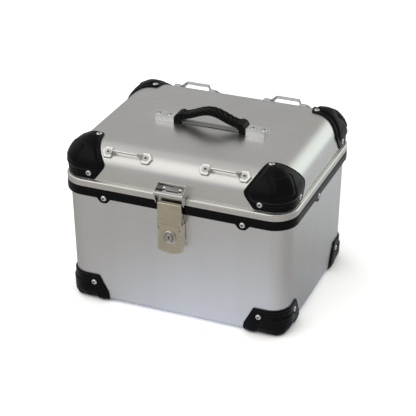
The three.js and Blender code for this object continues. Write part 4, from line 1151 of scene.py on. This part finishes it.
def build_hinges():
    rivet = rivet_mesh("hinge_rivet")
    out = HALF_D + 0.2
    under, over = HINGE_Z - KNUCKLE_R, HINGE_Z + KNUCKLE_R
    jog, jog_wall = BAND_BOTTOM - 1, tub_wall(BAND_BOTTOM - 1)
    lid_wall, lid_top = HALF_D - LID_INSET + 0.15, FLOOR + 257.5
    base_neck = [(out, jog + 2), (out + LEAF, jog + 2), (out + LEAF, under + 1),
                 (HINGE_Y, under + 0.1), (HINGE_Y, under + 2), (out, HINGE_Z - 2)]
    lid_neck = [(HINGE_Y, over - 2), (HINGE_Y, over - 0.1), (out + LEAF, over - 0.4),
                (out + LEAF, RIM_TOP - 2), (out, RIM_TOP - 2), (out, HINGE_Z + 2)]
    lid_leaf = [(out, RIM_TOP - 3), (out + LEAF, RIM_TOP - 3), (out + LEAF, RIM_TOP + 1.4),
                (lid_wall + LEAF, RIM_TOP + 5), (lid_wall + LEAF, lid_top), (lid_wall, lid_top),
                (lid_wall, RIM_TOP + 1), (out, RIM_TOP + 0.2)]
    for tag, _ in SIDES:
        low, high = box_mm("hinge_leaf_base_" + tag)
        x0, x1, bottom = low[0] + KNUCKLE_GAP, high[0] - KNUCKLE_GAP, low[2]
        third = (x1 - x0) / 3
        wall = tub_wall(bottom)
        base_leaf = [(wall, bottom), (wall + LEAF, bottom), (jog_wall + LEAF, jog - 3.2),
                     (out + LEAF, jog + 0.6), (out + LEAF, jog + 3), (out, jog + 3), (out, jog + 1),
                     (jog_wall, jog - 1.4)]

        def knuckle(index, neck):
            start = x0 + index * third + KNUCKLE_GAP
            end = start + third - 2 * KNUCKLE_GAP
            return joined(prism(neck, start, end, "x"), rod_x(start, end, HINGE, KNUCKLE_R, 32, 0.4))

        base = joined(prism(base_leaf, x0, x1, "x"), knuckle(0, base_neck), knuckle(2, base_neck))
        piece("hinge_base_leaf_" + tag, base, "base", ZINC, "hinge_leaf_base_" + tag, bevel=0.3)
        lid = joined(prism(lid_leaf, x0, x1, "x"), knuckle(1, lid_neck))
        piece("hinge_lid_leaf_" + tag, lid, "lid", ZINC, "hinge_leaf_lid_" + tag, bevel=0.3)
        pin = joined(rod_x(x0 - 2, x1 + 2, HINGE, 2), rod_x(x0 - 2.2, x0 - 0.4, HINGE, 3.4, edge=0.6),
                     rod_x(x1 + 0.4, x1 + 2.2, HINGE, 3.4, edge=0.6))
        piece("hinge_rod_" + tag, pin, "base", ZINC, "hinge_pin_" + tag)
        middle = (x0 + x1) / 2
        for index, (x, z) in enumerate((middle + dx, bottom + dz) for dz in (8, 25)
                                       for dx in (-18, 18)):
            piece(f"hinge_base_rivet_{tag}{index + 1}", rivet, "base", ZINC,
                  matrix=stand((x, tub_wall(z) + LEAF, z), (0, 1, 0)))
        for index, dx in enumerate((-18, 0, 18)):
            piece(f"hinge_lid_rivet_{tag}{index + 1}", rivet, "lid", ZINC,
                  matrix=stand((middle + dx, lid_wall + LEAF, lid_top - 7), (0, 1, 0)))


# Stage ------------------------
CAMERA_TARGET = Vector((0, 0, 0.1722))
CAMERA_AZIMUTH, CAMERA_ELEVATION, CAMERA_DISTANCE = 22.18, 27.14, 2.503
WORLD_GREYS = (                     # share of the way up, colour
    (0.0, (0.36, 0.36, 0.38)), (0.3, (0.40, 0.40, 0.395)), (0.5, (0.41, 0.405, 0.395)),
    (0.7, (0.42, 0.415, 0.40)), (1.0, (0.47, 0.46, 0.45)))
GLOWS = (                           # towards, half angles of the core and the edge, brightness
    ((-0.336, -0.65, 0.68), 4, 40, (0.64, 0.63, 0.60)),
    ((0.52, 0.825, 0.24), 4, 30, (0.66, 0.74, 0.68)),
    ((-0.8, 0.1, 0.6), 5, 40, (0.35, 0.35, 0.36)))
FLOOR_HALF = 12                     # metres


def build_camera():
    """The photograph's camera: azimuth 0 is in front of the case, 90 to its right."""
    data = bpy.data.cameras.new("camera")
    data.lens, data.sensor_width, data.clip_end = 121.75, 36, 50
    data.shift_x, data.shift_y = -0.005, -0.0446
    a, e = math.radians(CAMERA_AZIMUTH), math.radians(CAMERA_ELEVATION)
    away = Vector((math.sin(a) * math.cos(e), -math.cos(a) * math.cos(e), math.sin(e)))
    camera = linked("camera", data)
    camera.location = CAMERA_TARGET + away * CAMERA_DISTANCE
    camera.rotation_euler = (-away).to_track_quat("-Z", "Y").to_euler()
    scene.camera = camera


def build_world():
    """A dim grey studio with soft glows. Only the camera sees it white."""
    g = Graph(bpy.data.worlds.new("studio"))
    towards = g.coords["Generated"]
    light = g.add("ShaderNodeValToRGB", {0: g.split(towards)[2]})[0]
    ramp = light.node.color_ramp.elements
    while len(ramp) < len(WORLD_GREYS):
        ramp.new(0.5)
    for element, (at, colour) in zip(ramp, WORLD_GREYS):
        element.position, element.color = at, (*colour, 1)
    for way, core, edge, colour in GLOWS:
        lined_up = g.add("ShaderNodeVectorMath", {0: towards, 1: Vector(way).normalized()},
                         operation="DOT_PRODUCT")["Value"]
        glow = g.spread(lined_up, 0, 1, math.cos(math.radians(edge)), math.cos(math.radians(core)),
                        interpolation_type="SMOOTHSTEP")
        light = g.mix(glow, light, colour, blend_type="ADD")
    g.put(g.tree.nodes["Background"].inputs["Color"], g.mix(g.is_camera_ray(), light, grey(1)))
    scene.world = g.owner


def floor_material():
    """A pale floor. What the metal mirrors of it has painted light and shade: bluish and brighter
    than white near the case, making up for the case's shadow on the floor, warm further out, and
    painted shade towards both sides, as in a studio with a lit sweep in front."""
    g = material_graph("pale_floor")
    x, y, _ = g.split(g.coords["Object"])
    front = g.math("MULTIPLY", y, -1.0)
    around = g.math("ARCTAN2", x, front)
    reach = g.length(g.math("SUBTRACT", x, 0.06), g.math("SUBTRACT", front, 0.12))
    behind = g.spread(around, 0, 1, 1.6, 2.4)
    # Brighter than white near the case: painted light that makes up for the case's shadow on the
    # floor.
    near = g.mix(behind, (1.17, 1.23, 1.38), (2.7, 2.8, 2.95))
    far = g.mix(behind, (0.74, 0.725, 0.71), (1.0, 1.03, 1.07))
    painted_reflection = g.mix(g.spread(reach, 0, 1, 0.08, 0.34), near, far)
    # Painted shade towards both sides of what the metal mirrors.
    right = g.math("MULTIPLY", g.spread(around, 0, 1, 0.75, 1.15),
                   g.spread(around, 1, 0.35, 1.5, 2.2))
    left = g.spread(around, 1, 0, -1.6, -0.7)
    shade = g.math("MULTIPLY", g.math("MAXIMUM", right, left), 0.3)
    painted_reflection = g.mix(shade, painted_reflection, (0.30, 0.29, 0.27))
    seen = g.mix(g.spread(g.noise(3, 2), 0, 1), (2.25, 2.26, 2.28), (2.31, 2.32, 2.33))
    return g.finish(None, Base_Color=g.mix(g.is_camera_ray(), painted_reflection, seen), Roughness=0.8,
                    Specular_IOR_Level=0.0)


def build_floor():
    half = FLOOR_HALF
    mesh = bpy.data.meshes.new("floor")
    mesh.from_pydata([(-half, -half, 0), (half, -half, 0), (half, half, 0), (-half, half, 0)], [],
                     [(0, 1, 2, 3)])
    mesh.materials.append(floor_material())
    linked("floor", mesh)


# Everything ------------------------
for build in (build_sheets, build_band_and_rim, build_band_screws, build_guards, build_tie_downs,
              build_handle, build_latch_base, build_lever, build_link, build_catch, build_lock,
              build_hinges, build_floor, build_world, build_camera):
    build()
scene.view_settings.view_transform = "Standard"
